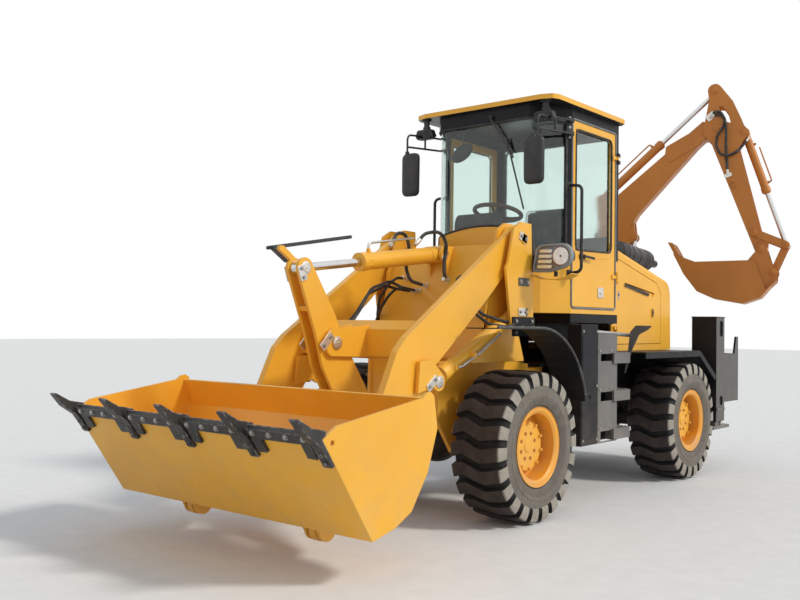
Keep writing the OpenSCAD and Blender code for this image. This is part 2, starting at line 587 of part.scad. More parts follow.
module front_axle() color(chassis_black) placed() translate([0, 0, axle_z]) axle_shape();

fender_r = 650;
fender_y = [tower_out[1] + 10, 900];
module front_fenders() color(chassis_black) placed() both_sides() difference() {
    union() {
        // Sheet bent over the wheel, its inner web and its bolted flange on the tower
        slab(ribbon(concat([[530, 1350]], arc([0, axle_z + 170], fender_r, 88, 170, 10)), 8),
            fender_y[0], fender_y[1]);
        slab([[-330, 1290], [-40, 1290], [-40, 1430], [-330, 1430]], tower_out[1] + seat_gap,
            fender_y[0] + 2);
        tube_path([[528, fender_y[1] - 8, 1352], [30, fender_y[1] - 8, 1352]], 9);
    }
    translate([pivot_x, 0, 0]) cylinder(r = 915, h = 3000);
}
module headlamps() color("#2a2a2c") placed() both_sides() {
    hull() for (e = [[0, 0], [20, 30]]) translate([-410 + e[0], 645 + e[1], 1760 + e[1]])
        cube([150, 270 - 2 * e[1], 180 - 2 * e[1]]);
    translate([-335, tower_out[1] + seat_gap, 1800]) cube([24, 40, 60]);
}

// Loader linkage

hinge_pin = [1790, 205];
crank_pin = [1196, 1239];
crank_top = [1458, 1713];
crank_low = [840, 790];
tip_pin = [1490, 468];
crank_pin_r = 35;
link_pin_r = 28;
crank_w = [36, 58];
lug_w = [64, 88];
arm_in = arm_y - arm_t / 2;
arm_out = arm_y + arm_t / 2;
arm_outline = concat(arc(lift_pin, 95, 55, 230, 8), [[190, 1550], [640, 1200], [790, 1090], [850, 976],
    [900, 900],
    [1250, 560], [1500, 300]], arc(hinge_pin, 68, 220, 400, 8),
    [[1620, 350], [1470, 590], [1314, 893], [1166, 1193], [1077, 1281]]);
module loader_arm() color(paint) placed() {
    difference() {
        union() {
            both_sides() {
                slab(arm_outline, arm_in, arm_out);
                cross_pin(lift_pin, 95, arm_y - 54, arm_y + 54);
                cross_pin(hinge_pin, 62, arm_in - 6, arm_out + 6);
                // Cheeks at the lift cylinder's rod
                for (y = [arm_y - 62, arm_y + 40]) slab(concat(arc(lift_eye, 62, 120, 330, 8),
                    [[1000, 930], [980, 1130], [860, 1140]]), y, y + 22);
                slab([[900, 940], [990, 930], [975, 1130], [900, 1120]], arm_y - 45, arm_y + 45);
            }
            // Beam between the arms
            slab([[760, 1200], [850, 1130], [905, 1150], [905, 1330], [850, 1390], [760, 1390]],
                -arm_in - 1, arm_in + 1);
            // Brackets that carry the bell crank
            both_sides() slab(concat(arc(crank_pin, 100, -60, 110, 8), [[880, 1360], [800, 1300],
                [860, 1140]]), lug_w[0], lug_w[1]);
        }
        both_sides() {
            cross_pin(lift_pin, lift_pin_r + pin_gap, arm_y - 60, arm_y + 60);
            cross_pin(hinge_pin, cyl_pin_r + pin_gap, arm_y - 60, arm_y + 60);
            // Room for the rod's eye
            cross_pin(lift_eye, 75, arm_y - 39, arm_y + 39);
        }
    }
    cross_pin(crank_pin, crank_pin_r, -lug_w[1] - 4, lug_w[1] + 4);
}
lift_dir = heading(lift_base, lift_eye);
lift_len = norm(lift_eye - lift_base);
module lift_barrels() color(paint) placed() both_sides() translate([0, arm_y, 0])
    barrel(lift_base, lift_dir, lift_len - 95, lift_cyl_r, 60, 100, cyl_pin_r, 30);
module lift_rods() color("silver") placed() both_sides() translate([0, arm_y, 0])
    piston(lift_eye, lift_dir, 780, 30, 48, 60);
module bell_crank() color(paint) placed() {
    difference() {
        union() {
            both_sides() slab(concat(arc(crank_top, 66, -20, 160, 8), [[1180, 1420]],
                arc(crank_pin, 110, 120, 170, 3), [[1010, 1130], [850, 900]], arc(crank_low, 60, 100,
                    280, 6),
                [[960, 760], [1160, 870], [1290, 1080], [1360, 1300]]), crank_w[0], crank_w[1]);
            cross_pin(crank_pin, 62, -crank_w[0] - 1, crank_w[0] + 1);
            // Ties between the two plates
            slab([[1290, 1480], [1410, 1440], [1425, 1470], [1305, 1510]], -crank_w[0] - 1, crank_w[0] + 1);
            slab([[1060, 1040], [1150, 980], [1170, 1010], [1080, 1070]], -crank_w[0] - 1, crank_w[0] + 1);
        }
        cross_pin(crank_pin, crank_pin_r + pin_gap, -70, 70);
    }
    cross_pin(crank_low, link_pin_r, -crank_w[1], crank_w[1]);
    // Level gauge's bar on its stalk
    slab(link_outline([1618, 1835], [861, 1966], 12, 12), -125, -113);
    slab([[1430, 1760], [1480, 1750], [1600, 1825], [1590, 1850], [1560, 1850]], -114, -crank_w[0]);
}
tilt_dir = heading(tilt_base, crank_top);
module tilt_barrel() color(paint) placed() barrel(tilt_base, tilt_dir, 880, tilt_cyl_r, 64, 110,
    cyl_pin_r, 28);
module tilt_rod() color("silver") placed() piston(crank_top, tilt_dir, 800, 28, 50, 60);
module bucket_link() color(paint) placed() difference() {
    slab(link_outline(crank_low, tip_pin, 54, 37), -30, 30);
    cross_pin(crank_low, link_pin_r + pin_gap, -31, 31);
}

// Side view of the bucket: lip, heel, back corners and top edge
lip = [2345, 800];
heel = [1972, 247];
bucket_wall = [lip, heel, [1790, 290], [1656, 357], [1520, 550], [1438, 784], [1500, 960]];
side_t = 20;
// Lifting hole in each side plate
lift_hole = [2277, 779];
lift_hole_r = 14;
module loader_bucket() color(paint) placed() {
    slab(ribbon(bucket_wall, -bucket_t), -bucket_y, bucket_y);
    both_sides() difference() {
        slab([lip, [2241, 859], [1570, 960], [1540, 985], [1500, 992], [1470, 970], [1438, 784],
            [1520, 550], [1656, 357], [1790, 290], heel], bucket_y - side_t, bucket_y);
        cross_pin(lift_hole, lift_hole_r, bucket_y - side_t - 1, bucket_y + 1);
    }
    both_sides() {
        // Hinge ears
        for (y = [arm_y - 62, arm_y + 42]) slab(concat(arc(hinge_pin, 66, 170, 350, 8), [[1900, 265],
            [1790, 291], [1656, 358], [1600, 436]]), y, y + 20);
        // Ears for the bucket link
        slab(concat(arc(tip_pin, 50, 110, 290, 6), [[1640, 382], [1521, 551], [1470, 695]]),
            crank_w[0], crank_w[1]);
        cross_pin(hinge_pin, cyl_pin_r, arm_y - 64, arm_y + 64);
    }
}
lip_dir = heading(heel, lip);
// Points by the lip: along the floor, then out of it downwards
function by_lip(pts) = [for (p = pts) lip + turned([p[0], -p[1]], lip_dir)];
tooth_in = by_lip([[-160, seat_gap], [-160, 22], [-20, 30], [80, 72], [181, 84], [181, 72], [90, 25],
    [20, -45], [-60, -40], [-60, -bucket_t - seat_gap], [3, -bucket_t - seat_gap], [3, seat_gap]]);
tooth_out = by_lip([[-160, seat_gap], [-160, 22], [-20, 30], [80, 72], [181, 84], [181, 72], [90, 25],
    [20, -45], [4, -30], [3, seat_gap]]);
edge_pts = by_lip([[-30, seat_gap], [-30, 20], [30, 20], [48, 4], [48, seat_gap]]);
foot_pts = by_lip([[-120, seat_gap], [-120, 20], [-29, 20], [-29, seat_gap]]);
tooth_w = 60;
tooth_first = -bucket_y + tooth_w / 2;
tooth_pitch = -2 * tooth_first / (tooth_n - 1);
module bucket_teeth() color("#1c1c1e") placed() {
    for (i = [0:tooth_n - 1]) translate([0, tooth_first + i * tooth_pitch, 0]) {
        from = i == 0 ? side_t + 2 - tooth_w / 2 : -tooth_w / 2;
        to = i == tooth_n - 1 ? tooth_w / 2 - side_t - 2 : tooth_w / 2;
        slab(tooth_in, from, to);
        slab(tooth_out, -tooth_w / 2, tooth_w / 2);
    }
    for (i = [0:tooth_n - 2]) {
        a = tooth_first + i * tooth_pitch + tooth_w / 2 + 20;
        b = tooth_first + (i + 1) * tooth_pitch - tooth_w / 2 - 20;
        slab(edge_pts, a, b);
        slab(foot_pts, a, a + 70);
        slab(foot_pts, b - 70, b);
    }
}

// Digging arm

// What follows is drawn in the arm's own plane, x being the distance out from the swing axis
module on_post() placed() translate([-post_back, -post_side, 0]) rotate([0, 0, 180 - swing_rest])
    children();
foot_pin = [180, 1010];
foot_r = 72;
boom_base = [318, 820];
boom_eye = [290, 2390];
elbow = [1196, 3547];
stick_base = [-80, 2833];
stick_eye = [1170, 3965];
dig_base = [1474, 3495];
rocker_pin = [1582, 2397];
rocker_end = [1890, 2261];
wrist = [1647, 2219];
ear_pin = [1764, 1969];
fork_w = [boom_w + 8, boom_w + 30];
king_r = 45;
king_z = [560, 1150];
king_t = 34;
post_z = [king_z[0] + king_t + 6, king_z[1] - 6];
plate_back = 242;
carriage_y = 140;
module shift_carriage() color(chassis_black) placed() translate([-post_back, -post_side, 0]) {
    translate([plate_back, -carriage_y, king_z[0]]) cube([32, 2 * carriage_y, 624]);
    // Hooks over the two rails
    for (s = [-1, 1]) {
        translate([plate_back + 10, -carriage_y, s > 0 ? top_rail[1] + slide_gap : low_rail[0] - 24])
            cube([130, 2 * carriage_y, 20]);
        translate([rail_x[1] + post_back + 8, -carriage_y, s > 0 ? top_rail[1] - 60 : low_rail[0] - 24])
            cube([22, 2 * carriage_y, 84]);
    }
    for (z = king_z) translate([0, 0, z]) linear_extrude(king_t)
        polygon(concat(arc([0, 0], 85, 90, 270, 10), [[plate_back + 1, 10 - carriage_y],
            [plate_back + 1, carriage_y - 10]]));
    translate([0, 0, king_z[0]]) cylinder(r = king_r, h = king_z[1] - king_z[0] + king_t);
}
module swing_post() color(chassis_black) on_post() {
    difference() {
        union() {
            translate([0, 0, post_z[0]]) cylinder(r = 74, h = post_z[1] - post_z[0]);
            slab([[20, 620], [130, 620], [130, 850], [20, 880]], -fork_w[0] - 1, fork_w[0] + 1);
            both_sides() slab(concat([[0, 620], [120, 620]], arc(boom_base, 62, -90, 20, 5),
                arc(foot_pin, 84, 10, 110, 5),
                [[60, 1110], [0, 1110]]), fork_w[0], fork_w[1]);
            // Webs from the hub out to the cheeks
            for (z = [post_z[0], 1060]) both_sides() translate([-40, 40, z]) cube([100, fork_w[1] - 41,
                z > 900 ? 50 : 60]);
        }
        translate([0, 0, 500]) cylinder(r = king_r + pin_gap, h = 800);
        // Room for the boom's foot
        cross_pin(foot_pin, foot_r + 10, -fork_w[0], fork_w[0]);
        slab([[102, 1000], [102, 1200], [300, 1200], [300, 1000]], -fork_w[0], fork_w[0]);
    }
    cross_pin(foot_pin, 32, -fork_w[1] - 6, fork_w[1] + 6);
    cross_pin(boom_base, 28, -fork_w[1] - 6, fork_w[1] + 6);
}
boom_outline = concat([[108, 1230]], arc(foot_pin, foot_r, 180, 360, 8), [[240, 1300], [200, 1560],
    [189, 2150], [187, 2300],
    [262, 2500], [342, 2640], [983, 3359], [1060, 3430]], arc(elbow, 84, -60, 130, 8),
    [[1040, 3640], [88, 2846], [-60, 2680], [-105, 2480], [-100, 2150], [-30, 1600]]);
boom_ear_w = [56, 76];
module boom() color(paint) on_post() {
    difference() {
        slab(boom_outline, -boom_w, boom_w);
        cross_pin(foot_pin, 32 + pin_gap, -90, 90);
        cross_pin(elbow, 30 + pin_gap, -90, 90);
    }
    both_sides() slab(concat(arc(boom_eye, 50, -90, 60, 6), [[300, 2560], [232, 2440], [189, 2290]]),
        44, boom_w);
    both_sides() slab(concat(arc(stick_base, 50, 80, 200, 6), [[-103, 2500], [-50, 2690], [60, 2815]]),
        boom_ear_w[0],
        boom_ear_w[1]);
    cross_pin(stick_base, 26, -boom_ear_w[1] - 4, boom_ear_w[1] + 4);
}
boom_dir = heading(boom_base, boom_eye);
module boom_barrel() color(paint) on_post() barrel(boom_base, boom_dir, 1040, 50, 56, 100, 28, 28);
module boom_rod() color("silver") on_post() piston(boom_eye, boom_dir, 1040, 28, 42, 76);
stick_outline = concat(arc(elbow, 150, 150, 215, 4), [[1130, 3400], [1583, 2203]], arc(wrist, 62, 200,
    330, 6),
    [[1710, 2300], [1642, 2433], [1420, 3330], [1490, 3440], [1520, 3500], [1465, 3570], [1450, 3620],
        [1357, 3835]],
    arc(stick_eye, 74, 40, 200, 8), [[1110, 3860]]);
module stick() color(paint) on_post() {
    difference() {
        union() {
            both_sides() slab(stick_outline, fork_w[0], fork_w[1]);
            // Closed part under the elbow
            slab([[1215, 3290], [1590, 2260], [1625, 2290], [1610, 2420], [1390, 3300], [1310, 3350]],
                -fork_w[0] - 1, fork_w[0] + 1);
            cross_pin(wrist, 60, -fork_w[1], fork_w[1]);
            // Tie between the horn's plates
            slab([[1340, 3700], [1400, 3620], [1430, 3640], [1370, 3720]], -fork_w[0] - 1, fork_w[0] + 1);
        }
        cross_pin(wrist, 28 + pin_gap, -120, 120);
        // Window in the horn
        both_sides() slab([[1215, 3790], [1260, 3780], [1310, 3700], [1335, 3600], [1300, 3610], [1240,
            3680]],
            fork_w[0] - 1, fork_w[1] + 1);
    }
    cross_pin(elbow, 30, -fork_w[1], fork_w[1]);
    cross_pin(dig_base, 26, -fork_w[1], fork_w[1]);
    cross_pin(rocker_pin, 24, -rocker_w[1] - 4, rocker_w[1] + 4);
}
stick_dir = heading(stick_base, stick_eye);
module stick_barrel() color(paint) on_post() barrel(stick_base, stick_dir, 910, 46, 54, 104, 26, 26);
module stick_rod() color("silver") on_post() piston(stick_eye, stick_dir, 900, 26, 40, 100);
dig_dir = heading(dig_base, rocker_end);
module dig_barrel() color(paint) on_post() barrel(dig_base, dig_dir, 693, 42, 48, 120, 26, 24);
module dig_rod() color("silver") on_post() piston(rocker_end, dig_dir, 720, 24, 36, 100);
rocker_w = [116, 132];
push_w = [58, 78];
ear_w = [138, 156];
module rocker_link() color(paint) on_post() both_sides() {
    difference() {
        slab(link_outline(rocker_pin, rocker_end, 40, 38), rocker_w[0], rocker_w[1]);
        cross_pin(rocker_pin, 24 + pin_gap, 100, 140);
    }
    cross_pin(rocker_end, 22, push_w[0], rocker_w[0] + 1);
}
module push_link() color(paint) on_post() {
    both_sides() difference() {
        slab(link_outline(rocker_end, ear_pin, 36, 36), push_w[0], push_w[1]);
        cross_pin(rocker_end, 22 + pin_gap, 50, 90);
    }
    cross_pin(ear_pin, 36, -ear_w[0] + 8, ear_w[0] - 8);
}
dig_tip = [750, 2183];
dig_wall = [dig_tip, [860, 1960], [1000, 1770], [1174, 1690], [1463, 1638], [1640, 1700], [1740, 1820],
    [1800, 1880]];
module dig_bucket() color(paint) on_post() {
    slab(ribbon(dig_wall, 14), -dig_w, dig_w);
    both_sides() {
        slab([dig_tip, [860, 1960], [1000, 1770], [1174, 1690], [1463, 1638], [1640, 1700], [1700, 1770],
            [1583, 2100], [980, 2092]], dig_w - 12, dig_w);
        slab(concat([[1480, 2060], [1560, 1700]], [[1740, 1815], [1800, 1875]], arc(ear_pin, 52, -40,
            90, 6),
            arc(wrist, 58, 20, 200, 8)), ear_w[0], ear_w[1]);
    }
    cross_pin(wrist, 28, -ear_w[1] - 4, ear_w[1] + 4);
    // Teeth
    for (i = [0:3]) translate([0, -dig_w + 10 + i * (2 * dig_w - 65) / 3, 0])
        slab([[dig_tip[0] + 40, dig_tip[1] - 60], [dig_tip[0] - 60, dig_tip[1] + 130],
            [dig_tip[0] - 10, dig_tip[1] + 120],
            [dig_tip[0] + 60, dig_tip[1] - 10]], 0, 45);
}

// Steering cylinders, drawn in plan

module flat_plan() translate([0, 0, steer_z]) rotate([90, 0, 0]) children();
module steer_barrel(side) color(paint) placed() flat_plan()
    barrel([steer_base[0], -side * steer_base[1]], heading([steer_base[0], -side * steer_base[1]],
        [steer_eye[0], -side * steer_eye[1]]), 560, 36, 40, steer_eye_w, steer_pin_r, 20);
module steer_rod(side) color("silver") placed() flat_plan()
    piston([steer_eye[0], -side * steer_eye[1]], heading([steer_base[0], -side * steer_base[1]],
        [steer_eye[0], -side * steer_eye[1]]), 500, 20, 32, 50);

rear_chassis();
rear_axle();
engine();
hood();
muffler();
cab_shell();
cab_glass();
cab_roof();
cab_interior();
seat_cushions();
cab_fittings();
steps();
backhoe_frame();
engine_door(1);  // engine_door_left
engine_door(-1);  // engine_door_right
door(1);  // door_left
door_glass(1);  // door_glass_left
door(-1);  // door_right
door_glass(-1);  // door_glass_right
front_chassis();
front_axle();
front_fenders();
headlamps();
tyre(0, 1);  // tyre_front_left
tyre(0, -1);  // tyre_front_right
tyre(rear_x, 1);  // tyre_rear_left
tyre(rear_x, -1);  // tyre_rear_right
rim(0, 1);  // rim_front_left
rim(0, -1);  // rim_front_right
rim(rear_x, 1);  // rim_rear_left
rim(rear_x, -1);  // rim_rear_right
loader_arm();
lift_barrels();
lift_rods();
bell_crank();
tilt_barrel();
tilt_rod();
bucket_link();
loader_bucket();
bucket_teeth();
shift_carriage();
swing_post();
boom();
boom_barrel();
boom_rod();
stick();
stick_barrel();
stick_rod();
dig_barrel();
dig_rod();
rocker_link();
push_link();
dig_bucket();
stabilizer(1);  // stabilizer_left
stabilizer(-1);  // stabilizer_right
steer_barrel(1);  // steer_barrel_left
steer_rod(1);  // steer_rod_left
steer_barrel(-1);  // steer_barrel_right
steer_rod(-1);  // steer_rod_right
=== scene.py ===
# %% [markdown]
# # A compact loader with a digging arm
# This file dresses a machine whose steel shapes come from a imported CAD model. The model is a fixed
# frame: nothing in it moves, and every piece added here rides on one of its bodies.
# All sizes are metres. Places are written from the front axle, as in the part's source, and `mid` is
# how far that axle is in front of the model's own origin. Each cell does one thing and says what it
# made, so the file can be read and run from top to bottom like a lesson.

# %% Load the frame
import bpy
import bmesh
import math
from mathutils import Matrix, Vector


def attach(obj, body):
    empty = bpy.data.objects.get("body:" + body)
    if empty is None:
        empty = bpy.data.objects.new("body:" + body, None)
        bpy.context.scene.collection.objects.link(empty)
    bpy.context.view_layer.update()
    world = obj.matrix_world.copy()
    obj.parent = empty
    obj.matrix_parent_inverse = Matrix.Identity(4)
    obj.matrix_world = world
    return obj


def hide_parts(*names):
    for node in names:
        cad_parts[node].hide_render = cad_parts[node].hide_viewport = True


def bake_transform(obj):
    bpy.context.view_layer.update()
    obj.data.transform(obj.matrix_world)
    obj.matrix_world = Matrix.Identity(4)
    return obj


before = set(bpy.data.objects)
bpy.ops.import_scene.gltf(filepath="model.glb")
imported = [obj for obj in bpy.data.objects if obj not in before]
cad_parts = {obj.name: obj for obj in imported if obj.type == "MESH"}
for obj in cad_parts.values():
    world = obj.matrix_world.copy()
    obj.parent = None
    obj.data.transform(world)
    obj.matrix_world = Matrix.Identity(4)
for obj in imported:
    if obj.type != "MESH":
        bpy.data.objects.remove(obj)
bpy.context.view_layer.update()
mid = 1.130

# %% [markdown]
# ## Camera
# The picture was taken from the machine's front left at standing height, nearly level. The camera is
# built straight from its position, heading, pitch and roll, and the lens follows from the focal
# length in pixels of an 800 pixel wide picture.

# %% Camera
image_width = 800
focal_pixels = 921.65
heading, pitch, roll = math.radians(219.90), math.radians(1.58), math.radians(0.777)
look = Vector((math.cos(pitch) * math.cos(heading), math.cos(pitch) * math.sin(heading), math.sin(pitch)))
level = look.cross(Vector((0, 0, 1))).normalized()
upright = level.cross(look)
right = level * math.cos(roll) + upright * math.sin(roll)
up = upright * math.cos(roll) - level * math.sin(roll)
camera_data = bpy.data.cameras.new("photo_view")
camera_data.sensor_width = 36
camera_data.lens = focal_pixels / image_width * camera_data.sensor_width
camera = bpy.data.objects.new("photo_view", camera_data)
bpy.context.scene.collection.objects.link(camera)
camera.matrix_world = Matrix((right, up, -look)).transposed().to_4x4()
camera.location = (5.530 + mid, 4.242, 1.357)
bpy.context.scene.camera = camera
print("lens", round(camera_data.lens, 2), "mm")

# %% [markdown]
# ## Light and floor
# A plain studio: an even grey sky that lights from everywhere, one large soft lamp on the machine's
# left and a little behind it, where the photograph's light comes from, and a pale floor. The sky is
# white only for rays that come from the camera or off shiny things, so it never adds light.

# %% Helpers for nodes and new objects
def add(tree, kind, values=None, **settings):
    """A node with its settings, and its inputs set to values or linked to sockets."""
    made = tree.nodes.new(kind)
    for key, value in settings.items():
        setattr(made, key, value)
    for key, value in (values or {}).items():
        if isinstance(value, bpy.types.NodeSocket):
            tree.links.new(value, made.inputs[key])
        else:
            made.inputs[key].default_value = value
    return made


def maths(tree, operation, a, b=0.5, clamp=False):
    return add(tree, "ShaderNodeMath", {0: a, 1: b}, operation=operation, use_clamp=clamp).outputs[0]


def linked(name, data):
    made = bpy.data.objects.new(name, data)
    scene.collection.objects.link(made)
    return made


def mesh_object(name, verts, faces):
    mesh = bpy.data.meshes.new(name)
    mesh.from_pydata([tuple(v) for v in verts], [], faces)
    mesh.update()
    return linked(name, mesh)


# %% Sky, lamp and floor
scene = bpy.context.scene
scene.view_settings.view_transform = "Standard"
world = bpy.data.worlds.new("studio")
world.use_nodes = True
scene.world = world
sky = world.node_tree
sky.nodes.clear()
grey = add(sky, "ShaderNodeBackground", {"Color": (0.86, 0.92, 1.0, 1), "Strength": 0.62})
white = add(sky, "ShaderNodeBackground", {"Color": (1, 1, 1, 1), "Strength": 1.0})
rays = add(sky, "ShaderNodeLightPath").outputs
seen = maths(sky, "MAXIMUM", rays["Is Camera Ray"], rays["Is Glossy Ray"])
seen = maths(sky, "MAXIMUM", seen, rays["Is Transmission Ray"])
choose = add(sky, "ShaderNodeMixShader", {"Fac": seen, 1: grey.outputs[0], 2: white.outputs[0]})
add(sky, "ShaderNodeOutputWorld", {"Surface": choose.outputs[0]})

lamp_data = bpy.data.lights.new("soft_key", "SUN")
lamp_data.energy, lamp_data.angle, lamp_data.color = 1.9, math.radians(9), (1.0, 0.96, 0.89)
towards_lamp = Vector((-0.30, 0.80, 0.72))
lamp = linked("soft_key", lamp_data)
lamp.rotation_mode = "QUATERNION"
lamp.rotation_quaternion = towards_lamp.to_track_quat("Z", "Y")
floor_half = 60
corners = [(x * floor_half, y * floor_half, 0) for x, y in ((-1, -1), (1, -1), (1, 1), (-1, 1))]
floor = mesh_object("studio_floor", corners, [(0, 1, 2, 3)])
print("studio: sky, lamp and floor")

# %% [markdown]
# ## Building materials from nodes
# Each finish is a Principled shader fed by noise patterns in the object's own coordinates. Effects
# that several finishes share are node groups with named sockets, built once: `edge_finder` marks
# worn edges by comparing the true surface with one whose corners are rounded, and `settled_dust`
# says where dirt lies, which is on faces that look up and near the ground.

# %% Noise, ranges and groups
def spread(tree, value, low, high, to_low=0.0, to_high=1.0):
    return add(tree, "ShaderNodeMapRange", {"Value": value, "From Min": low, "From Max": high,
                                            "To Min": to_low, "To Max": to_high}).outputs["Result"]


def noise(tree, place, scale, detail=3, rough=0.5):
    return add(tree, "ShaderNodeTexNoise", {"Vector": place, "Scale": scale, "Detail": detail,
                                            "Roughness": rough}).outputs["Fac"]


def mixed(tree, mask, first, second):
    return add(tree, "ShaderNodeMix", {0: mask, 6: first, 7: second}, data_type="RGBA").outputs[2]


def axis_of(tree, vector, axis):
    return add(tree, "ShaderNodeSeparateXYZ", {0: vector}).outputs[axis]


def new_group(name, inputs, outputs, kind="ShaderNodeTree"):
    """A node group: its inputs are (label, socket type, value), its outputs (label, socket type)."""
    tree = bpy.data.node_groups.new(name, kind)
    for label, socket_type, value in inputs:
        socket = tree.interface.new_socket(label, in_out="INPUT", socket_type=socket_type)
        if value is not None:
            socket.default_value = value
    for label, socket_type in outputs:
        tree.interface.new_socket(label, in_out="OUTPUT", socket_type=socket_type)
    return tree, tree.nodes.new("NodeGroupInput").outputs, tree.nodes.new("NodeGroupOutput").inputs


INT, FLOAT, VECTOR, MATERIAL = ("NodeSocket" + kind for kind in ("Int", "Float", "Vector", "Material"))

# %% Worn edges
edge_finder, given, result = new_group(
    "edge_finder", [("Radius", FLOAT, 0.006), ("Amount", FLOAT, 0.5)], [("Edge", FLOAT), ("Rounded", VECTOR)])
soft = add(edge_finder, "ShaderNodeBevel", {"Radius": given["Radius"]}, samples=4).outputs[0]
true_normal = add(edge_finder, "ShaderNodeNewGeometry").outputs["True Normal"]
agree = add(edge_finder, "ShaderNodeVectorMath", {0: soft, 1: true_normal},
            operation="DOT_PRODUCT").outputs["Value"]
where = add(edge_finder, "ShaderNodeTexCoord").outputs["Object"]
chips = spread(edge_finder, noise(edge_finder, where, 26, 5, 0.65), 0.46, 0.62)
edge = maths(edge_finder, "MULTIPLY", spread(edge_finder, agree, 0.97, 0.80), chips)
edge_finder.links.new(maths(edge_finder, "MULTIPLY", edge, given["Amount"], clamp=True), result["Edge"])
edge_finder.links.new(soft, result["Rounded"])

# %% Dust
settled_dust, given, result = new_group(
    "settled_dust", [("Amount", FLOAT, 0.5), ("Reach", FLOAT, 1.1)], [("Dust", FLOAT)])
where = add(settled_dust, "ShaderNodeTexCoord").outputs["Object"]
facing = axis_of(settled_dust, add(settled_dust, "ShaderNodeNewGeometry").outputs["Normal"], "Z")
on_top = spread(settled_dust, facing, 0.55, 1.0, 0.0, 0.55)
low_down = spread(settled_dust, axis_of(settled_dust, where, "Z"), 0.0, given["Reach"], 0.75, 0.0)
patches = spread(settled_dust, noise(settled_dust, where, 5.5, 6, 0.62), 0.38, 0.68)
dust = maths(settled_dust, "MULTIPLY", maths(settled_dust, "MAXIMUM", on_top, low_down), patches)
settled_dust.links.new(maths(settled_dust, "MULTIPLY", dust, given["Amount"], clamp=True), result["Dust"])

# %% [markdown]
# ## Paint
# Sprayed machine paint is a smooth coloured film with a fine orange-peel texture. Its tone drifts a
# little from panel to panel, corners are worn down to a darker primer, and dust takes the gloss off.
# One function makes every painted finish, because they differ only in these values.

# %% Paint
steel_grey, chassis_bare, dust_brown = (0.23, 0.225, 0.22, 1), (0.30, 0.29, 0.28, 1), (0.46, 0.37, 0.27, 1)
line_blur = 0.002


def started(name):
    """A new material, its tree, its shader and the object's own coordinates."""
    material = bpy.data.materials.new(name)
    material.use_nodes = True
    tree = material.node_tree
    return material, tree, tree.nodes["Principled BSDF"], add(tree, "ShaderNodeTexCoord").outputs["Object"]


def painted(name, colour, second, roughness=0.32, dust=0.5, wear=0.5, peel=0.04, bare=steel_grey, metal=0.0,
            radius=0.005, reach=1.1, under=None, above=None, beyond=None, shine=0.5):
    """Painted finishes. `under` colours faces that look down, `above` and `beyond` what is past a line."""
    material, tree, shader, where = started(name)
    tone = spread(tree, noise(tree, where, 1.7, 4, 0.6), 0.35, 0.65)
    base = mixed(tree, tone, (*colour, 1), (*second, 1))
    if under:
        facing = axis_of(tree, add(tree, "ShaderNodeNewGeometry").outputs["Normal"], "Z")
        base = mixed(tree, spread(tree, facing, -0.4, -0.8), base, (*under, 1))
    if above:
        height = axis_of(tree, where, "Z")
        base = mixed(tree, spread(tree, height, above[0], above[0] + line_blur), base, (*above[1], 1))
        tree.links.new(spread(tree, height, above[0], above[0] + line_blur, shine, 0.15),
                       shader.inputs["Specular IOR Level"])
    if beyond:
        across = axis_of(tree, where, "Y")
        if beyond[0] > 0:
            across = maths(tree, "ABSOLUTE", across)
        past = spread(tree, across, beyond[0], beyond[0] + math.copysign(line_blur, beyond[0]))
        base = mixed(tree, past, base, (*beyond[1], 1))
    shader.inputs["Specular IOR Level"].default_value = shine
    worn = add(tree, "ShaderNodeGroup", {"Radius": radius, "Amount": wear}, node_tree=edge_finder)
    dirty = add(tree, "ShaderNodeGroup", {"Amount": dust, "Reach": reach}, node_tree=settled_dust)
    base = mixed(tree, worn.outputs["Edge"], base, bare)
    base = mixed(tree, dirty.outputs["Dust"], base, dust_brown)
    tree.links.new(base, shader.inputs["Base Color"])
    fine = noise(tree, where, 9, 5, 0.7)
    gloss = maths(tree, "ADD", spread(tree, fine, 0.3, 0.7, roughness - 0.06, roughness + 0.10),
                  maths(tree, "MULTIPLY", dirty.outputs["Dust"], 0.45))
    tree.links.new(maths(tree, "ADD", gloss, maths(tree, "MULTIPLY", worn.outputs["Edge"], 0.15), clamp=True),
                   shader.inputs["Roughness"])
    shader.inputs["Metallic"].default_value = metal
    skin = noise(tree, where, 260, 2, 0.5)
    dents = noise(tree, where, 3.1, 2, 0.5)
    relief = maths(tree, "ADD", maths(tree, "MULTIPLY", skin, peel), maths(tree, "MULTIPLY", dents, 0.5))
    bump = add(tree, "ShaderNodeBump", {"Strength": 0.35, "Distance": 0.002, "Height": relief,
                                        "Normal": worn.outputs["Rounded"]})
    tree.links.new(bump.outputs[0], shader.inputs["Normal"])
    return material


gold, liner_black = ((0.93, 0.475, 0.040), (0.86, 0.420, 0.032)), (0.014, 0.014, 0.016)
gold_paint = painted("gold_paint", *gold, wear=0.30, dust=0.42)
cab_paint = painted("cab_paint", *gold, wear=0.3, dust=0.4, above=(1.925, liner_black))
painted("roof_paint", *gold, wear=0.3, dust=0.7, under=liner_black)
painted("crank_paint", *gold, wear=0.3, dust=0.42, beyond=(-0.0588, (0.035, 0.036, 0.040)))
# The machine's gold darkened to the orange it shows in shade: painted shade, used on the digging arm and the
# inner hub bolts.
gold_in_painted_shade = painted("gold_in_painted_shade", (0.62, 0.215, 0.026), (0.55, 0.185, 0.022), 0.38, wear=0.35, dust=0.42)
painted("rim_gold", (0.90, 0.40, 0.030), (0.80, 0.34, 0.026), 0.40, wear=0.45, dust=0.75)
black_paint = painted("black_chassis_paint", (0.011, 0.0115, 0.014), (0.017, 0.0175, 0.020), 0.42, wear=0.35,
                      dust=0.30, shine=0.15, bare=chassis_bare)
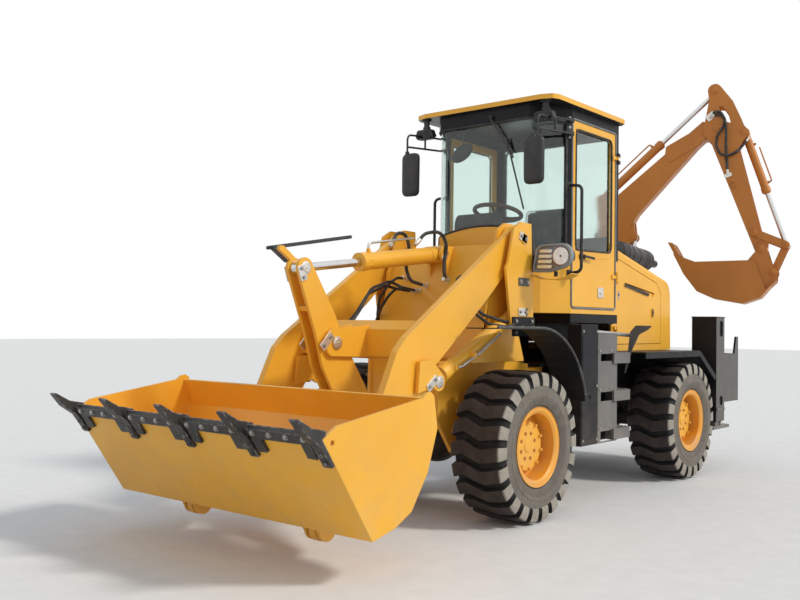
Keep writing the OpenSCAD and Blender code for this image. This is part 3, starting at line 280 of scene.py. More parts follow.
# The side boxes are black paint. Their outer faces, past 0.8785 across, are painted a paler grey: a painted
# highlight on the side that faces the light.
box_paint_and_painted_highlight = painted("side_box_paint_and_painted_highlight", (0.013, 0.0135, 0.016), (0.022, 0.022, 0.025), 0.42, wear=0.7,
                    dust=0.25, shine=0.15, bare=chassis_bare, beyond=(0.8785, (0.150, 0.143, 0.133)))
grey_steps = painted("grey_step_paint", (0.115, 0.110, 0.106), (0.165, 0.156, 0.148), 0.46, wear=0.6,
                     dust=0.6, bare=(0.42, 0.41, 0.40, 1))
painted("engine_paint", (0.045, 0.060, 0.052), (0.07, 0.08, 0.07), 0.5, dust=0.9)
tooth_black = painted("tooth_black", (0.017, 0.017, 0.018), (0.028, 0.027, 0.026), 0.40, wear=1.0, dust=0.35,
                      bare=(0.62, 0.60, 0.57, 1), radius=0.012)
exhaust_black = painted("exhaust_black", (0.020, 0.020, 0.022), (0.045, 0.040, 0.038), 0.34, wear=0.5,
                        dust=0.5, bare=(0.16, 0.10, 0.07, 1))
fender_edge = painted("fender_edge", (0.022, 0.022, 0.024), (0.060, 0.060, 0.060), 0.35, wear=1.0, dust=0.3,
                      bare=(0.55, 0.54, 0.52, 1), radius=0.010)
print("painted finishes made")

# %% [markdown]
# ## Rubber, chrome, glass and plastic
# These differ in more than values, so each gets its own short recipe. Tyre rubber is brown-black,
# pale on the sidewalls and shoulders with dust and a painted highlight together, and painted shade
# darkens its grooves; cylinder rods are hard chrome with faint rings from the wiper seal, and glass is
# tinted, with dust that only shows as dullness.

# %% Colour, roughness and relief into a shader
def finish_with(tree, shader, colour, roughness, relief, depth=0.001):
    bump = add(tree, "ShaderNodeBump", {"Strength": 0.4, "Distance": depth, "Height": relief})
    for socket, value in (("Base Color", colour), ("Roughness", roughness), ("Normal", bump.outputs[0])):
        tree.links.new(value, shader.inputs[socket])


# %% Rubber
def rubber(name, dark, light, dusty, dust_and_painted_light_at_side=False):
    material, tree, shader, where = started(name)
    tone = mixed(tree, spread(tree, noise(tree, where, 14, 5, 0.6), 0.35, 0.65), (*dark, 1), (*light, 1))
    mask = spread(tree, noise(tree, where, 7, 6, 0.7), 0.36, 0.70)
    # On tyres the face value makes sidewalls and shoulders paler, dust and a painted highlight together, and
    # grooves near black, which is painted shade.
    if dust_and_painted_light_at_side:
        out = add(tree, "ShaderNodeAttribute", attribute_name="shoulder").outputs["Fac"]
        mask = maths(tree, "MULTIPLY", spread(tree, noise(tree, where, 16, 5, 0.65), 0.20, 0.60, 0.55, 1.0),
                     maths(tree, "MAXIMUM", out, 0.0))
        # Near black in the grooves: painted shade.
        tone = mixed(tree, maths(tree, "MULTIPLY", out, -1.0, clamp=True), tone, (0.006, 0.006, 0.007, 1))
    colour = mixed(tree, maths(tree, "MULTIPLY", mask, dusty, clamp=True), tone, (0.40, 0.36, 0.30, 1))
    rough = spread(tree, noise(tree, where, 30, 3, 0.6), 0.3, 0.7, 0.62, 0.86)
    relief = maths(tree, "ADD", noise(tree, where, 420, 2, 0.5), noise(tree, where, 35, 4, 0.6))
    finish_with(tree, shader, colour, rough, relief, depth=0.0015)
    return material


tyre_rubber = rubber("tyre_rubber", (0.026, 0.019, 0.016), (0.048, 0.035, 0.028), 0.95, dust_and_painted_light_at_side=True)
hose_rubber = rubber("hose_rubber", (0.010, 0.010, 0.011), (0.020, 0.020, 0.021), 0.18)
seal_rubber = rubber("seal_rubber", (0.030, 0.032, 0.035), (0.055, 0.057, 0.060), 0.30)
pale_seal = rubber("pale_seal_rubber", (0.16, 0.175, 0.19), (0.22, 0.235, 0.25), 0.25)

# %% Bright metal, plated plates and cast iron
def metal(name, colour, second, roughness, scale, streak=1.0, dusty=0.2, depth=0.0005):
    material, tree, shader, where = started(name)
    shader.inputs["Metallic"].default_value = 1.0
    along = add(tree, "ShaderNodeMapping", {"Vector": where, "Scale": (1, streak, 1)}).outputs[0]
    grain = noise(tree, along, scale, 5, 0.6)
    tone = mixed(tree, spread(tree, grain, 0.35, 0.65), (*colour, 1), (*second, 1))
    patch = spread(tree, noise(tree, where, 11, 5, 0.65), 0.5, 0.75)
    tone = mixed(tree, maths(tree, "MULTIPLY", patch, dusty, clamp=True), tone, (0.36, 0.30, 0.23, 1))
    rough = maths(tree, "ADD", spread(tree, grain, 0.3, 0.7, roughness, roughness + 0.12),
                  maths(tree, "MULTIPLY", patch, dusty * 0.6), clamp=True)
    finish_with(tree, shader, tone, rough, grain, depth=depth)
    return material


metal("rod_chrome", (0.72, 0.72, 0.72), (0.62, 0.62, 0.63), 0.12, 60, dusty=0.25)
plate_zinc = metal("plate_zinc", (0.78, 0.76, 0.71), (0.62, 0.60, 0.56), 0.34, 55, dusty=0.35)
bolt_steel = metal("bolt_steel", (0.50, 0.49, 0.47), (0.36, 0.35, 0.34), 0.36, 90, dusty=0.45)
pipe_steel = metal("pipe_steel", (0.60, 0.60, 0.59), (0.48, 0.48, 0.48), 0.28, 70, dusty=0.3)

# %% Glass
def glass(name, tint, dusty):
    material, tree, shader, where = started(name)
    for socket, value in (("Base Color", (*tint, 1)), ("Transmission Weight", 1.0), ("IOR", 1.45),
                          ("Specular IOR Level", 0.5)):
        shader.inputs[socket].default_value = value
    smear = noise(tree, where, 3.0, 6, 0.7)
    tree.links.new(spread(tree, smear, 0.35, 0.75, 0.01, dusty), shader.inputs["Roughness"])
    bump = add(tree, "ShaderNodeBump", {"Strength": 0.12, "Distance": 0.001,
                                        "Height": noise(tree, where, 2.2, 2, 0.5)})
    tree.links.new(bump.outputs[0], shader.inputs["Normal"])
    return material


window_glass = glass("window_glass", (0.80, 0.90, 0.87), 0.10)
lamp_glass = glass("lamp_glass", (0.95, 0.97, 1.0), 0.08)
lamp_silver = metal("lamp_silver", (0.86, 0.87, 0.89), (0.78, 0.79, 0.81), 0.30, 40, dusty=0.05)
mirror_glass = metal("mirror_glass", (0.80, 0.82, 0.84), (0.76, 0.78, 0.80), 0.04, 8, dusty=0.1)

# %% Moulded plastic and seat vinyl
def plastic(name, colour, second, roughness, grain_scale, depth=0.0006, dusty=0.25):
    material, tree, shader, where = started(name)
    tone = mixed(tree, spread(tree, noise(tree, where, 6, 4, 0.6), 0.35, 0.65), (*colour, 1), (*second, 1))
    patch = spread(tree, noise(tree, where, 8, 6, 0.68), 0.45, 0.75)
    tone = mixed(tree, maths(tree, "MULTIPLY", patch, dusty, clamp=True), tone, dust_brown)
    cells = add(tree, "ShaderNodeTexVoronoi", {"Vector": where, "Scale": grain_scale}).outputs["Distance"]
    rough = spread(tree, cells, 0.0, 0.6, roughness - 0.05, roughness + 0.12)
    finish_with(tree, shader, tone, rough, cells, depth=depth)
    return material


black_plastic = plastic("black_plastic", (0.012, 0.012, 0.013), (0.018, 0.018, 0.019), 0.42, 380, dusty=0.06)
seat_vinyl = plastic("seat_vinyl", (0.030, 0.034, 0.042), (0.045, 0.050, 0.060), 0.50, 300, depth=0.001)
wheel_brown = plastic("steering_wheel_brown", (0.10, 0.048, 0.030), (0.13, 0.062, 0.038), 0.45, 300,
                      dusty=0.1)
signal_red = plastic("signal_red", (0.30, 0.055, 0.020), (0.34, 0.07, 0.03), 0.2, 200, dusty=0.02)
cab_liner = plastic("cab_liner", (0.022, 0.022, 0.025), (0.035, 0.035, 0.038), 0.6, 240)
lamp_body = plastic("lamp_body_silver", (0.20, 0.205, 0.215), (0.27, 0.275, 0.285), 0.36, 300, dusty=0.2)
floor_paint = plastic("studio_floor_paint", (0.78, 0.78, 0.77), (0.74, 0.74, 0.73), 0.75, 90, dusty=0.03)
floor.data.materials.append(floor_paint)
print("materials:", len(bpy.data.materials))

# %% [markdown]
# ## Finishes for the steel shapes
# Every CAD shape keeps its mesh and only gets a better material in its slots. The table lists them by
# finish, so that a look at it says which parts of the machine share a paint.

# %% Give each node its finish
finishes = {
    "gold_paint": "hood engine_door_left engine_door_right door_left door_right front_chassis loader_arm "
                  "lift_barrels tilt_barrel bucket_link loader_bucket steer_barrel_left "
                  "steer_barrel_right",
    # The digging arm takes the gold darkened by painted shade.
    "gold_in_painted_shade": "boom boom_barrel stick stick_barrel dig_barrel rocker_link push_link dig_bucket",
    "cab_paint": "cab_shell",
    "crank_paint": "bell_crank",
    "roof_paint": "cab_roof",
    "black_chassis_paint": "rear_chassis rear_axle front_axle front_fenders shift_carriage swing_post",
    "side_box_paint_and_painted_highlight": "backhoe_frame",
    "grey_step_paint": "steps stabilizer_left stabilizer_right",
    "engine_paint": "engine",
    "exhaust_black": "muffler",
    "rod_chrome": "lift_rods tilt_rod boom_rod stick_rod dig_rod steer_rod_left steer_rod_right",
    "tyre_rubber": "tyre_front_left tyre_front_right tyre_rear_left tyre_rear_right",
    "rim_gold": "rim_front_left rim_front_right rim_rear_left rim_rear_right",
    "window_glass": "cab_glass door_glass_left door_glass_right",
    "tooth_black": "bucket_teeth",
    "black_plastic": "cab_fittings headlamps",
    "cab_liner": "cab_interior",
    "seat_vinyl": "seat_cushions",
}
dressed = set()
for finish, names in finishes.items():
    for name in names.split():
        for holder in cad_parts[name].material_slots:
            holder.material = bpy.data.materials[finish]
        dressed.add(name)
print("nodes without a finish:", sorted(set(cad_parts) - dressed))

# %% [markdown]
# ## Tyres
# A loader tyre is a body of revolution with 22 bent lugs round it. One lug with its groove is the
# smallest piece that repeats, so one segment is drawn as a grid of points: across the tyre in rows,
# round it in columns that follow the lug's zigzag. Geometry Nodes repeats the segment round the
# wheel and welds the seams, so that all tyres come from one small mesh.

# %% One lug and its groove
tyre_radius, lug_count = 0.530, 22
track_half, wheelbase = 0.700, 2.640
# The sidewall, from the bead up: distance across the tyre and radius
wall_rows = [(0.172, 0.2545), (0.180, 0.272), (0.176, 0.284), (0.186, 0.290), (0.196, 0.310), (0.2015, 0.342),
             (0.2015, 0.349), (0.2045, 0.352), (0.2045, 0.366), (0.2015, 0.369), (0.2005, 0.395),
             (0.1985, 0.412)]
# The tread, from the shoulder to the middle: where the groove's floor is and where the lug's skin is
tread_rows = [((0.1975, 0.420), (0.1985, 0.420)), ((0.1970, 0.424), (0.2045, 0.425)),
              ((0.1925, 0.445), (0.2045, 0.452)), ((0.184, 0.468), (0.2000, 0.488)),
              ((0.176, 0.477), (0.1925, 0.509)), ((0.168, 0.482), (0.1850, 0.5150)),
              ((0.150, 0.486), (0.165, 0.5185)), ((0.125, 0.489), (0.135, 0.5215)),
              ((0.107, 0.490), (0.107, 0.5232)), ((0.080, 0.490), (0.080, 0.5242)),
              ((0.049, 0.490), (0.049, 0.5247)), ((0.025, 0.490), (0.025, 0.5249)),
              ((0.0, 0.490), (0.0, 0.5249))]
# Columns round the segment: share of the pitch, height of the lug there
groove_share = 0.35
low_edge, high_edge = groove_share / 2 - 0.035, groove_share / 2 + 0.015
tread_columns = [(0.0, 0.0), (low_edge, 0.0), (high_edge, 0.96), (high_edge + 0.03, 1.0), (0.5, 1.0),
                 (1 - high_edge - 0.03, 1.0), (1 - high_edge, 0.96), (1 - low_edge, 0.0), (1.0, 0.0)]
lug_bends = [(-0.205, 0.35), (-0.097, -1.0), (0.045, 1.0), (0.205, 0.15)]
lug_lead = 0.030


def sway(across):
    for (a, low), (b, high) in zip(lug_bends, lug_bends[1:]):
        if across <= b:
            return lug_lead * (low + (high - low) * max(0.0, (across - a) / (b - a)))
    return lug_lead * lug_bends[-1][1]


def lug_segment():
    """One pitch of the tyre. Each face has a value: 1 is pale with dust and a painted highlight, 0 is a
    lug's crown, -1 is a groove in painted shade.
    """
    pitch = 2 * math.pi / lug_count
    half_rows = [(p, p, False) for p in wall_rows] + [(low, high, True) for low, high in tread_rows]
    rows = [(-1, row) for row in half_rows] + [(1, row) for row in reversed(half_rows[:-1])]
    verts, faces, dust = [], [], []
    for side, (low, high, _) in rows:
        for place, rise in tread_columns:
            across = side * (low[0] + (high[0] - low[0]) * rise)
            radius = low[1] + (high[1] - low[1]) * rise
            fade = min(1.0, max(0.0, (radius - 0.40) / 0.06))
            angle = place * pitch + sway(across) * fade / tyre_radius
            verts.append((radius * math.sin(angle), across, radius * math.cos(angle)))
    wide = len(tread_columns)
    for i in range(len(rows) - 1):
        outer = rows[i][1] if rows[i][0] < 0 else rows[i + 1][1]
        for j in range(wide - 1):
            faces.append((i * wide + j, (i + 1) * wide + j, (i + 1) * wide + j + 1, i * wide + j + 1))
            on_top = min(tread_columns[j][1], tread_columns[j + 1][1]) > 0.9
            # Sidewalls and shoulders: pale, dust and a painted highlight; grooves: -1, painted shade.
            if not outer[2]:
                dust.append(0.42 if outer[0][1] > 0.33 else 0.30)
            elif not on_top:
                dust.append(-1.0)
            else:
                dust.append(0.95 if outer[1][1] < 0.508 else 0.55 if outer[1][1] < 0.514 else 0.0)
    segment = mesh_object("lug_segment", verts, faces)
    layer = segment.data.attributes.new("shoulder", "FLOAT", "FACE")
    layer.data.foreach_set("value", dust)
    return segment


# %% Repeating a segment round an axle with Geometry Nodes
def baked(piece):
    """What the piece's modifiers make of it, as a plain mesh."""
    return bpy.data.meshes.new_from_object(piece.evaluated_get(bpy.context.evaluated_depsgraph_get()))


def new_tree(name, inputs):
    geometry = "NodeSocketGeometry"
    return new_group(name, [("Geometry", geometry, None)] + inputs, [("Geometry", geometry)],
                     "GeometryNodeTree")


def painted_result(tree, geometry, given, result):
    """Ends a tree by setting the material it was given."""
    paint = add(tree, "GeometryNodeSetMaterial", {"Geometry": geometry, "Material": given["Material"]})
    tree.links.new(paint.outputs[0], result[0])


def grown(piece, tree, name, **values):
    """Runs a tree on a piece with its named inputs and returns the result as a new object."""
    modifier = piece.modifiers.new("grow", "NODES")
    modifier.node_group = tree
    for socket in tree.interface.items_tree:
        if socket.in_out == "INPUT" and socket.name in values:
            modifier[socket.identifier] = values[socket.name]
    mesh = baked(piece)
    piece.modifiers.remove(modifier)
    mesh.name = name
    return linked(name, mesh)


around, given, result = new_tree("segments_round_axle", [
    ("Count", INT, 22), ("Centre", VECTOR, (0, 0, 0)), ("Flip", FLOAT, 0.0), ("Material", MATERIAL, None)])
ring = add(around, "GeometryNodeMeshLine", {"Count": given["Count"], "Offset": (0, 0, 0)})
number = add(around, "GeometryNodeInputIndex").outputs[0]
turn = maths(around, "MULTIPLY", number, maths(around, "DIVIDE", 2 * math.pi, given["Count"]))
spin = add(around, "ShaderNodeCombineXYZ", {"Y": turn}).outputs[0]
copies = add(around, "GeometryNodeInstanceOnPoints", {
    "Points": ring.outputs[0], "Instance": given["Geometry"], "Rotation": spin})
real = add(around, "GeometryNodeRealizeInstances", {0: copies.outputs[0]})
weld = add(around, "GeometryNodeMergeByDistance", {"Geometry": real.outputs[0], "Distance": 0.0004})
flip = add(around, "ShaderNodeCombineXYZ", {"Z": given["Flip"]}).outputs[0]
move = add(around, "GeometryNodeTransform", {
    "Geometry": weld.outputs[0], "Translation": given["Centre"], "Rotation": flip})
painted_result(around, move.outputs[0], given, result)

# %% Four tyres
wheels = {"front_left": (0, 1), "front_right": (0, -1), "rear_left": (-wheelbase, 1),
          "rear_right": (-wheelbase, -1)}
lug = lug_segment()
for place, (x, side) in wheels.items():
    tyre = grown(lug, around, "tyre_tread_" + place, Count=lug_count, Flip=0.0 if side > 0 else math.pi,
                 Centre=(x + mid, side * track_half, tyre_radius), Material=tyre_rubber)
    tyre.data.shade_smooth()
    tyre.data.set_sharp_from_angle(angle=math.radians(28))
    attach(tyre, "wheel_" + place)
    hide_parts("tyre_" + place)
bpy.data.objects.remove(lug)
print("tyre triangles:", 2 * len(tyre.data.polygons))

# %% [markdown]
# ## Tools for turned, cut and bent pieces
# Most fittings on a machine are turned on a lathe, cut from plate, or bent from tube. A turned piece
# is a profile spun round an axis, and a plate is an outline given a thickness. Both are plain lists
# of points, so a few short functions make them, and `make` joins several into one piece that rides
# on a body. A live Bevel modifier rounds the corners of cut plates, because real edges catch light.

# %% Turned and cut shapes
planes = {"xz": lambda u, v, w: (u, w, v), "yz": lambda u, v, w: (w, u, v), "xy": lambda u, v, w: (u, v, w)}


def skinned(rings, sides):
    """Faces of a closed skin over rings of points, with both ends shut."""
    faces = [(i * sides + k, i * sides + (k + 1) % sides, (i + 1) * sides + (k + 1) % sides,
              (i + 1) * sides + k)
             for i in range(rings - 1) for k in range(sides)]
    return faces + [tuple(reversed(range(sides))), tuple(range((rings - 1) * sides, rings * sides))]


def turned(profile, origin, axis, sides=20):
    """Spins (distance along the axis, radius) pairs round an axis."""
    axis = Vector(axis).normalized()
    first = axis.orthogonal().normalized()
    second = axis.cross(first)
    angles = [2 * math.pi * (k + 0.5) / sides for k in range(sides)]
    verts = [Vector(origin) + axis * along + (first * math.cos(a) + second * math.sin(a)) * radius
             for along, radius in profile for a in angles]
    return verts, skinned(len(profile), sides)


def plate(outline, low, high, plane="xz"):
    """Cuts a plate from an outline in one plane, between two places across it."""
    return [Vector(planes[plane](u, v, w)) for w in (low, high) for u, v in outline], skinned(2, len(outline))


def block(low, high):
    (x0, y0, z0), (x1, y1, z1) = low, high
    return plate([(x0, z0), (x1, z0), (x1, z1), (x0, z1)], y0, y1)


def bar(a, b, radius, sides=14):
    a, b = Vector(a), Vector(b)
    return turned([(0, radius), ((b - a).length, radius)], a, b - a, sides)


def rounded(outline, radius, steps=4, closed=True):
    """Rounds an outline's corners; a line that isn't closed keeps its ends."""
    points = [Vector(p) for p in outline]
    inner = range(len(points)) if closed else range(1, len(points) - 1)
    result = []
    for i in inner:
        here, before, after = points[i], points[i - 1] - points[i], points[(i + 1) % len(points)] - points[i]
        cut = min(radius, before.length * 0.45, after.length * 0.45)
        start, end = here + before.normalized() * cut, here + after.normalized() * cut
        result += [tuple(start * (1 - t) ** 2 + here * 2 * t * (1 - t) + end * t * t)
                   for t in (k / steps for k in range(steps + 1))]
    return result if closed else [tuple(points[0]), *result, tuple(points[-1])]


def slanted(centre, half_long, half_wide, degrees, radius=0.008):
    """A rounded rectangle turned in its plane."""
    c, s = math.cos(math.radians(degrees)), math.sin(math.radians(degrees))
    corners = [(-half_long, -half_wide), (half_long, -half_wide), (half_long, half_wide),
               (-half_long, half_wide)]
    return rounded([(centre[0] + u * c - v * s, centre[1] + u * s + v * c) for u, v in corners], radius)


def round_points(count, start=0.0):
    """Cosine and sine of evenly spaced angles."""
    return [(math.cos(a), math.sin(a)) for a in (start + 2 * math.pi * k / count for k in range(count))]


# %% [markdown]
# ## Riding on bodies, and sides
# A piece rides on one body of the frame. Most of the machine is the same on its left and right:
# `pair` makes both pieces from a description of the left one.


def settle(piece, material, body, slot=None, replaces=None):
    """Rides on a body; a body given as (first, second, start, end) only fixes the piece's place in the world.
    """
    if isinstance(body, str):
        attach(piece, body)
    else:
        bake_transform(piece)
    if replaces:
        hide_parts(replaces)
    return piece


def face_outward(mesh):
    shape = bmesh.new()
    shape.from_mesh(mesh)
    bmesh.ops.recalc_face_normals(shape, faces=shape.faces)
    shape.to_mesh(mesh)
    shape.free()


def smooth_to(mesh, degrees):
    mesh.shade_smooth()
    mesh.set_sharp_from_angle(angle=math.radians(degrees))


def make(name, shapes, material, body="rear_frame", bevel=0.0, angle=35, **more):
    verts, faces = [], []
    for points, polygons in shapes:
        start = len(verts)
        verts += [(p[0] + mid, p[1], p[2]) for p in points]
        faces += [tuple(start + i for i in polygon) for polygon in polygons]
    piece = mesh_object(name, verts, faces)
    face_outward(piece.data)
    smooth_to(piece.data, angle)
    if bevel:
        rounding = piece.modifiers.new("rounded_edges", "BEVEL")
        rounding.width, rounding.segments, rounding.limit_method = bevel, 2, "ANGLE"
        rounding.angle_limit, rounding.harden_normals = math.radians(40), True
    piece.data.materials.append(material)
    return settle(piece, material, body, **more)


sides = ((1, "left"), (-1, "right"))


def mirrored(points, side):
    return [Vector((p[0], side * p[1], p[2])) for p in points]


def pair(maker, name, items, *rest, body="rear_frame", **more):
    """Two pieces from the left one's shapes, paths or bolts; SIDE in the body's name is left or right."""
    for side, end in sides:
        if maker is make:
            here = [(mirrored(verts, side), faces) for verts, faces in items]
        else:
            here = [mirrored(points, side) for points in items]
        on = body.replace("SIDE", end) if isinstance(body, str) else (*body[:2], *mirrored(body[2:], side))
        maker(f"{name}_{end}", here, *rest, body=on, **more)


# %% [markdown]
# ## Tubes and bolts with Geometry Nodes
# Hoses, pipes and hand rails follow a path, and bolts repeat. A tree turns a line of points into a
# tube: the corners get a bend radius, then a circle is swept along. Another sets a bolt, which is a
# washer and a six-sided head turned by a random angle, on every point of a mesh. The point's own
# `aim` says which way the bolt looks.

# %% Tube along a path
piping, given, result = new_tree("tube_along_path", [
    ("Radius", FLOAT, 0.01), ("Bend", FLOAT, 0.05), ("Sides", INT, 12), ("Material", MATERIAL, None)])
line = add(piping, "GeometryNodeMeshToCurve", {"Mesh": given["Geometry"]})
bent = add(piping, "GeometryNodeFilletCurve", {
    "Curve": line.outputs[0], "Count": 6, "Radius": given["Bend"], "Limit Radius": True}, mode="POLY")
hoop = add(piping, "GeometryNodeCurvePrimitiveCircle",
           {"Resolution": given["Sides"], "Radius": given["Radius"]})
skin = add(piping, "GeometryNodeCurveToMesh", {
    "Curve": bent.outputs[0], "Profile Curve": hoop.outputs[0], "Fill Caps": True})
painted_result(piping, skin.outputs[0], given, result)


def guided(name, verts, edges, tree, aims=None, **values):
    """Grows a tree on a mesh of bare points and edges."""
    mesh = bpy.data.meshes.new(name + "_guide")
    mesh.from_pydata([(p[0] + mid, p[1], p[2]) for p in verts], edges, [])
    if aims:
        aim_of = mesh.attributes.new("aim", "FLOAT_VECTOR", "POINT").data
        aim_of.foreach_set("vector", [c for way in aims for c in way])
    guide = linked(name + "_guide", mesh)
    piece = grown(guide, tree, name, **values)
    bpy.data.objects.remove(guide)
    return piece


def tube(name, paths, radius, material, body="rear_frame", bend=0.05, sides=12, **more):
    """One piece made of one or more tubes, each given by its corner points."""
    edges, start = [], 0
    for path in paths:
        edges += [(start + i, start + i + 1) for i in range(len(path) - 1)]
        start += len(path)
    piece = guided(name, [p for path in paths for p in path], edges, piping, Radius=radius, Bend=bend,
                   Sides=sides, Material=material)
    smooth_to(piece.data, 50)
    return settle(piece, material, body, **more)


# %% Bolts on points
bolting, given, result = new_tree("bolts_on_points", [
    ("Size", FLOAT, 0.012), ("Head", FLOAT, 0.009), ("Seed", INT, 4), ("Material", MATERIAL, None)])
wide = maths(bolting, "MULTIPLY", given["Size"], 1.35)
washer = add(bolting, "GeometryNodeMeshCylinder", {"Vertices": 18, "Radius": wide, "Depth": 0.004})
head = add(bolting, "GeometryNodeMeshCylinder", {"Vertices": 6, "Radius": given["Size"],
                                                 "Depth": given["Head"]})
lift_head = add(bolting, "ShaderNodeCombineXYZ", {"Z": maths(bolting, "MULTIPLY", given["Head"], 0.55)})
raised = add(bolting, "GeometryNodeTransform", {"Geometry": head.outputs[0],
                                                "Translation": lift_head.outputs[0]})
both = add(bolting, "GeometryNodeJoinGeometry")
for part in (washer, raised):
    bolting.links.new(part.outputs[0], both.inputs[0])
aim = add(bolting, "GeometryNodeInputNamedAttribute", {"Name": "aim"}, data_type="FLOAT_VECTOR")
any_share = add(bolting, "FunctionNodeRandomValue", {"Seed": given["Seed"]}, data_type="FLOAT").outputs[1]
twist = add(bolting, "ShaderNodeCombineXYZ", {"Z": maths(bolting, "MULTIPLY", any_share, 6.2832)}).outputs[0]
facing = add(bolting, "FunctionNodeAlignRotationToVector", {"Vector": aim.outputs[0]}, axis="Z")
on_points = add(bolting, "GeometryNodeInstanceOnPoints", {
    "Points": given["Geometry"], "Instance": both.outputs[0], "Rotation": facing.outputs[0]})
spun = add(bolting, "GeometryNodeRotateInstances", {
    "Instances": on_points.outputs[0], "Rotation": twist, "Local Space": True})
real = add(bolting, "GeometryNodeRealizeInstances", {0: spun.outputs[0]})
painted_result(bolting, real.outputs[0], given, result)


def bolts(name, spots, size=0.012, head=0.009, material=bolt_steel, body="rear_frame", **more):
    """Bolts on a list of (place, way it looks) pairs."""
    piece = guided(name, [place for place, _ in spots], [], bolting, aims=[way for _, way in spots],
                   Size=size, Head=head, Material=material)
    return settle(piece, material, body, **more)


print("trees:", [tree.name for tree in bpy.data.node_groups if tree.type == "GEOMETRY"])

# %% [markdown]
# ## Loader: collars, pipes and hoses
# A cylinder's oil goes in at both ends. The tilt cylinder's front port is fed by a steel pipe along its
# top, and rubber hoses loop from its rear over the pivot down to fittings in the wall, long enough to
# let it swing. The glands are castings with a scalloped rim, cut here from a toothed circle.

# %% Glands and ports
def scalloped(origin, axis, low, high, outer, depth=0.005, teeth=10, sides=80):
    verts, faces = turned([(low, outer - 0.004), (low + 0.004, outer), (high - 0.004, outer),
                           (high, outer - 0.005)],
                          origin, axis, sides)
    axis = Vector(axis).normalized()
    for i, v in enumerate(verts):
        arm = v - Vector(origin)
        wave = math.cos(teeth * 2 * math.pi * (i % sides + 0.5) / sides)
        v -= (arm - axis * arm.dot(axis)).normalized() * depth * (0.5 - 0.5 * wave)
    return verts, faces


def heading_of(a, b):
    return Vector((b[0] - a[0], 0, b[1] - a[1])).normalized()


def in_plan(point, y=0.0):
    """A side-view place (x, z) in space."""
    return Vector((point[0], y, point[1]))


tilt_base, crank_top, crank_pin = (0.029, 1.896), (1.458, 1.713), (1.196, 1.239)
lift_base, lift_eye, hinge_pin = (-0.234, 1.468), (0.780, 0.995), (1.790, 0.205)
tilt_way, lift_way = heading_of(tilt_base, crank_top), heading_of(lift_base, lift_eye)
tilt_start, lift_off, out = in_plan(tilt_base), 0.550, Vector((0, 1, 0))
upward, across = Vector((-tilt_way.z, 0, tilt_way.x)), Vector((lift_way.z, 0, -lift_way.x))
front_port, rear_port = (tilt_start + tilt_way * along + upward * 0.055 for along in (0.77, 0.27))
port_shape = [(0.0, 0.018), (0.022, 0.018), (0.022, 0.013), (0.035, 0.013)]
make("tilt_gland", [
    scalloped(tilt_start, tilt_way, 0.798, 0.856, 0.0665), turned(port_shape, front_port, upward, 12),
    turned(port_shape, rear_port, upward, 12),
    turned([(0.10, 0.058), (0.10, 0.0635), (0.125, 0.0635), (0.125, 0.058)], tilt_start, tilt_way, 40),
], gold_paint, "tilt_barrel")
for side, end in sides:
    start, face = in_plan(lift_base, side * lift_off), out * side
    arm_stop, stop_faces = block((0.395, 0.590, 1.150), (0.425, 0.634, 1.180))
    make("lift_gland_" + end, [
        scalloped(start, lift_way, 0.940, 0.996, 0.0575),
        *(turned([(0.0, 0.016), (0.022, 0.016)], start + lift_way * along + face * 0.044, face, 12)
          for along in (0.91, 0.36)),
        turned([(0.09, 0.050), (0.09, 0.0555), (0.115, 0.0555), (0.115, 0.050)], start, lift_way, 40),
        (mirrored(arm_stop, side), stop_faces)], gold_paint, "lift_barrels", bevel=0.002)

# %% Steel pipes on the cylinders
top_of_port, top_of_rear = front_port + upward * 0.030, rear_port + upward * 0.030
tube("tilt_pipe", [[top_of_port, top_of_port + upward * 0.040, top_of_rear + upward * 0.048 + tilt_way * 0.10,
                    top_of_rear + upward * 0.050]], 0.009, pipe_steel, "tilt_barrel", bend=0.03)
pair(tube, "lift_pipe", [[in_plan(lift_base, 0.622) + lift_way * along + across * off for along, off in (
    (0.91, 0.0), (0.86, 0.012), (0.62, 0.020), (0.42, 0.010), (0.36, 0.002))]], 0.009, pipe_steel,
     body="lift_barrels", bend=0.03)

# %% Hoses over the pivot and down to the wall
wall_foot, wall_high, wall_back = (0.200, 1.120), 0.840, 0.260


def on_wall(y, z, out=0.02):
    """A place on the tower's sloping wall, or a little way out of it."""
    return (wall_foot[0] - (z - wall_foot[1]) / wall_high * wall_back + out, y, z)


front_hoses = {
    "tilt_hose_left": [(0.300, 0.030, 1.968), (0.235, 0.045, 2.035), (0.120, 0.085, 2.060),
                       (0.035, 0.100, 1.990), (0.075, 0.105, 1.840), (0.080, 0.105, 1.740),
                       on_wall(0.100, 1.700)],
    "tilt_hose_right": [(0.520, -0.035, 1.940), (0.430, -0.055, 2.030), (0.310, -0.070, 2.030),
                        (0.255, -0.085, 1.930), (0.290, -0.090, 1.790), (0.240, -0.090, 1.690),
                        on_wall(-0.090, 1.660)]}
for name, path in front_hoses.items():
    tube(name, [path], 0.013, hose_rubber, ("tilt_barrel", "front_frame", (0.28, 0, 1.97), (0.10, 0, 1.72)),
         bend=0.10, sides=14)
pair(tube, "lift_hoses", [
    [on_wall(0.30, 1.720), (0.130, 0.30, 1.722), (0.215, 0.31, 1.680), (0.225, 0.40, 1.560),
     (0.130, 0.500, 1.440), (-0.010, 0.610, 1.390), (-0.072, 0.612, 1.400)],
    [on_wall(0.30, 1.640), (0.140, 0.30, 1.640), (0.205, 0.32, 1.590), (0.190, 0.42, 1.480),
     (0.110, 0.535, 1.375), (0.000, 0.655, 1.350), (-0.050, 0.640, 1.380)]], 0.011, hose_rubber,
     body=("front_frame", "lift_barrels", (0.18, 0.30, 1.60), (0.05, 0.58, 1.41)), bend=0.09)
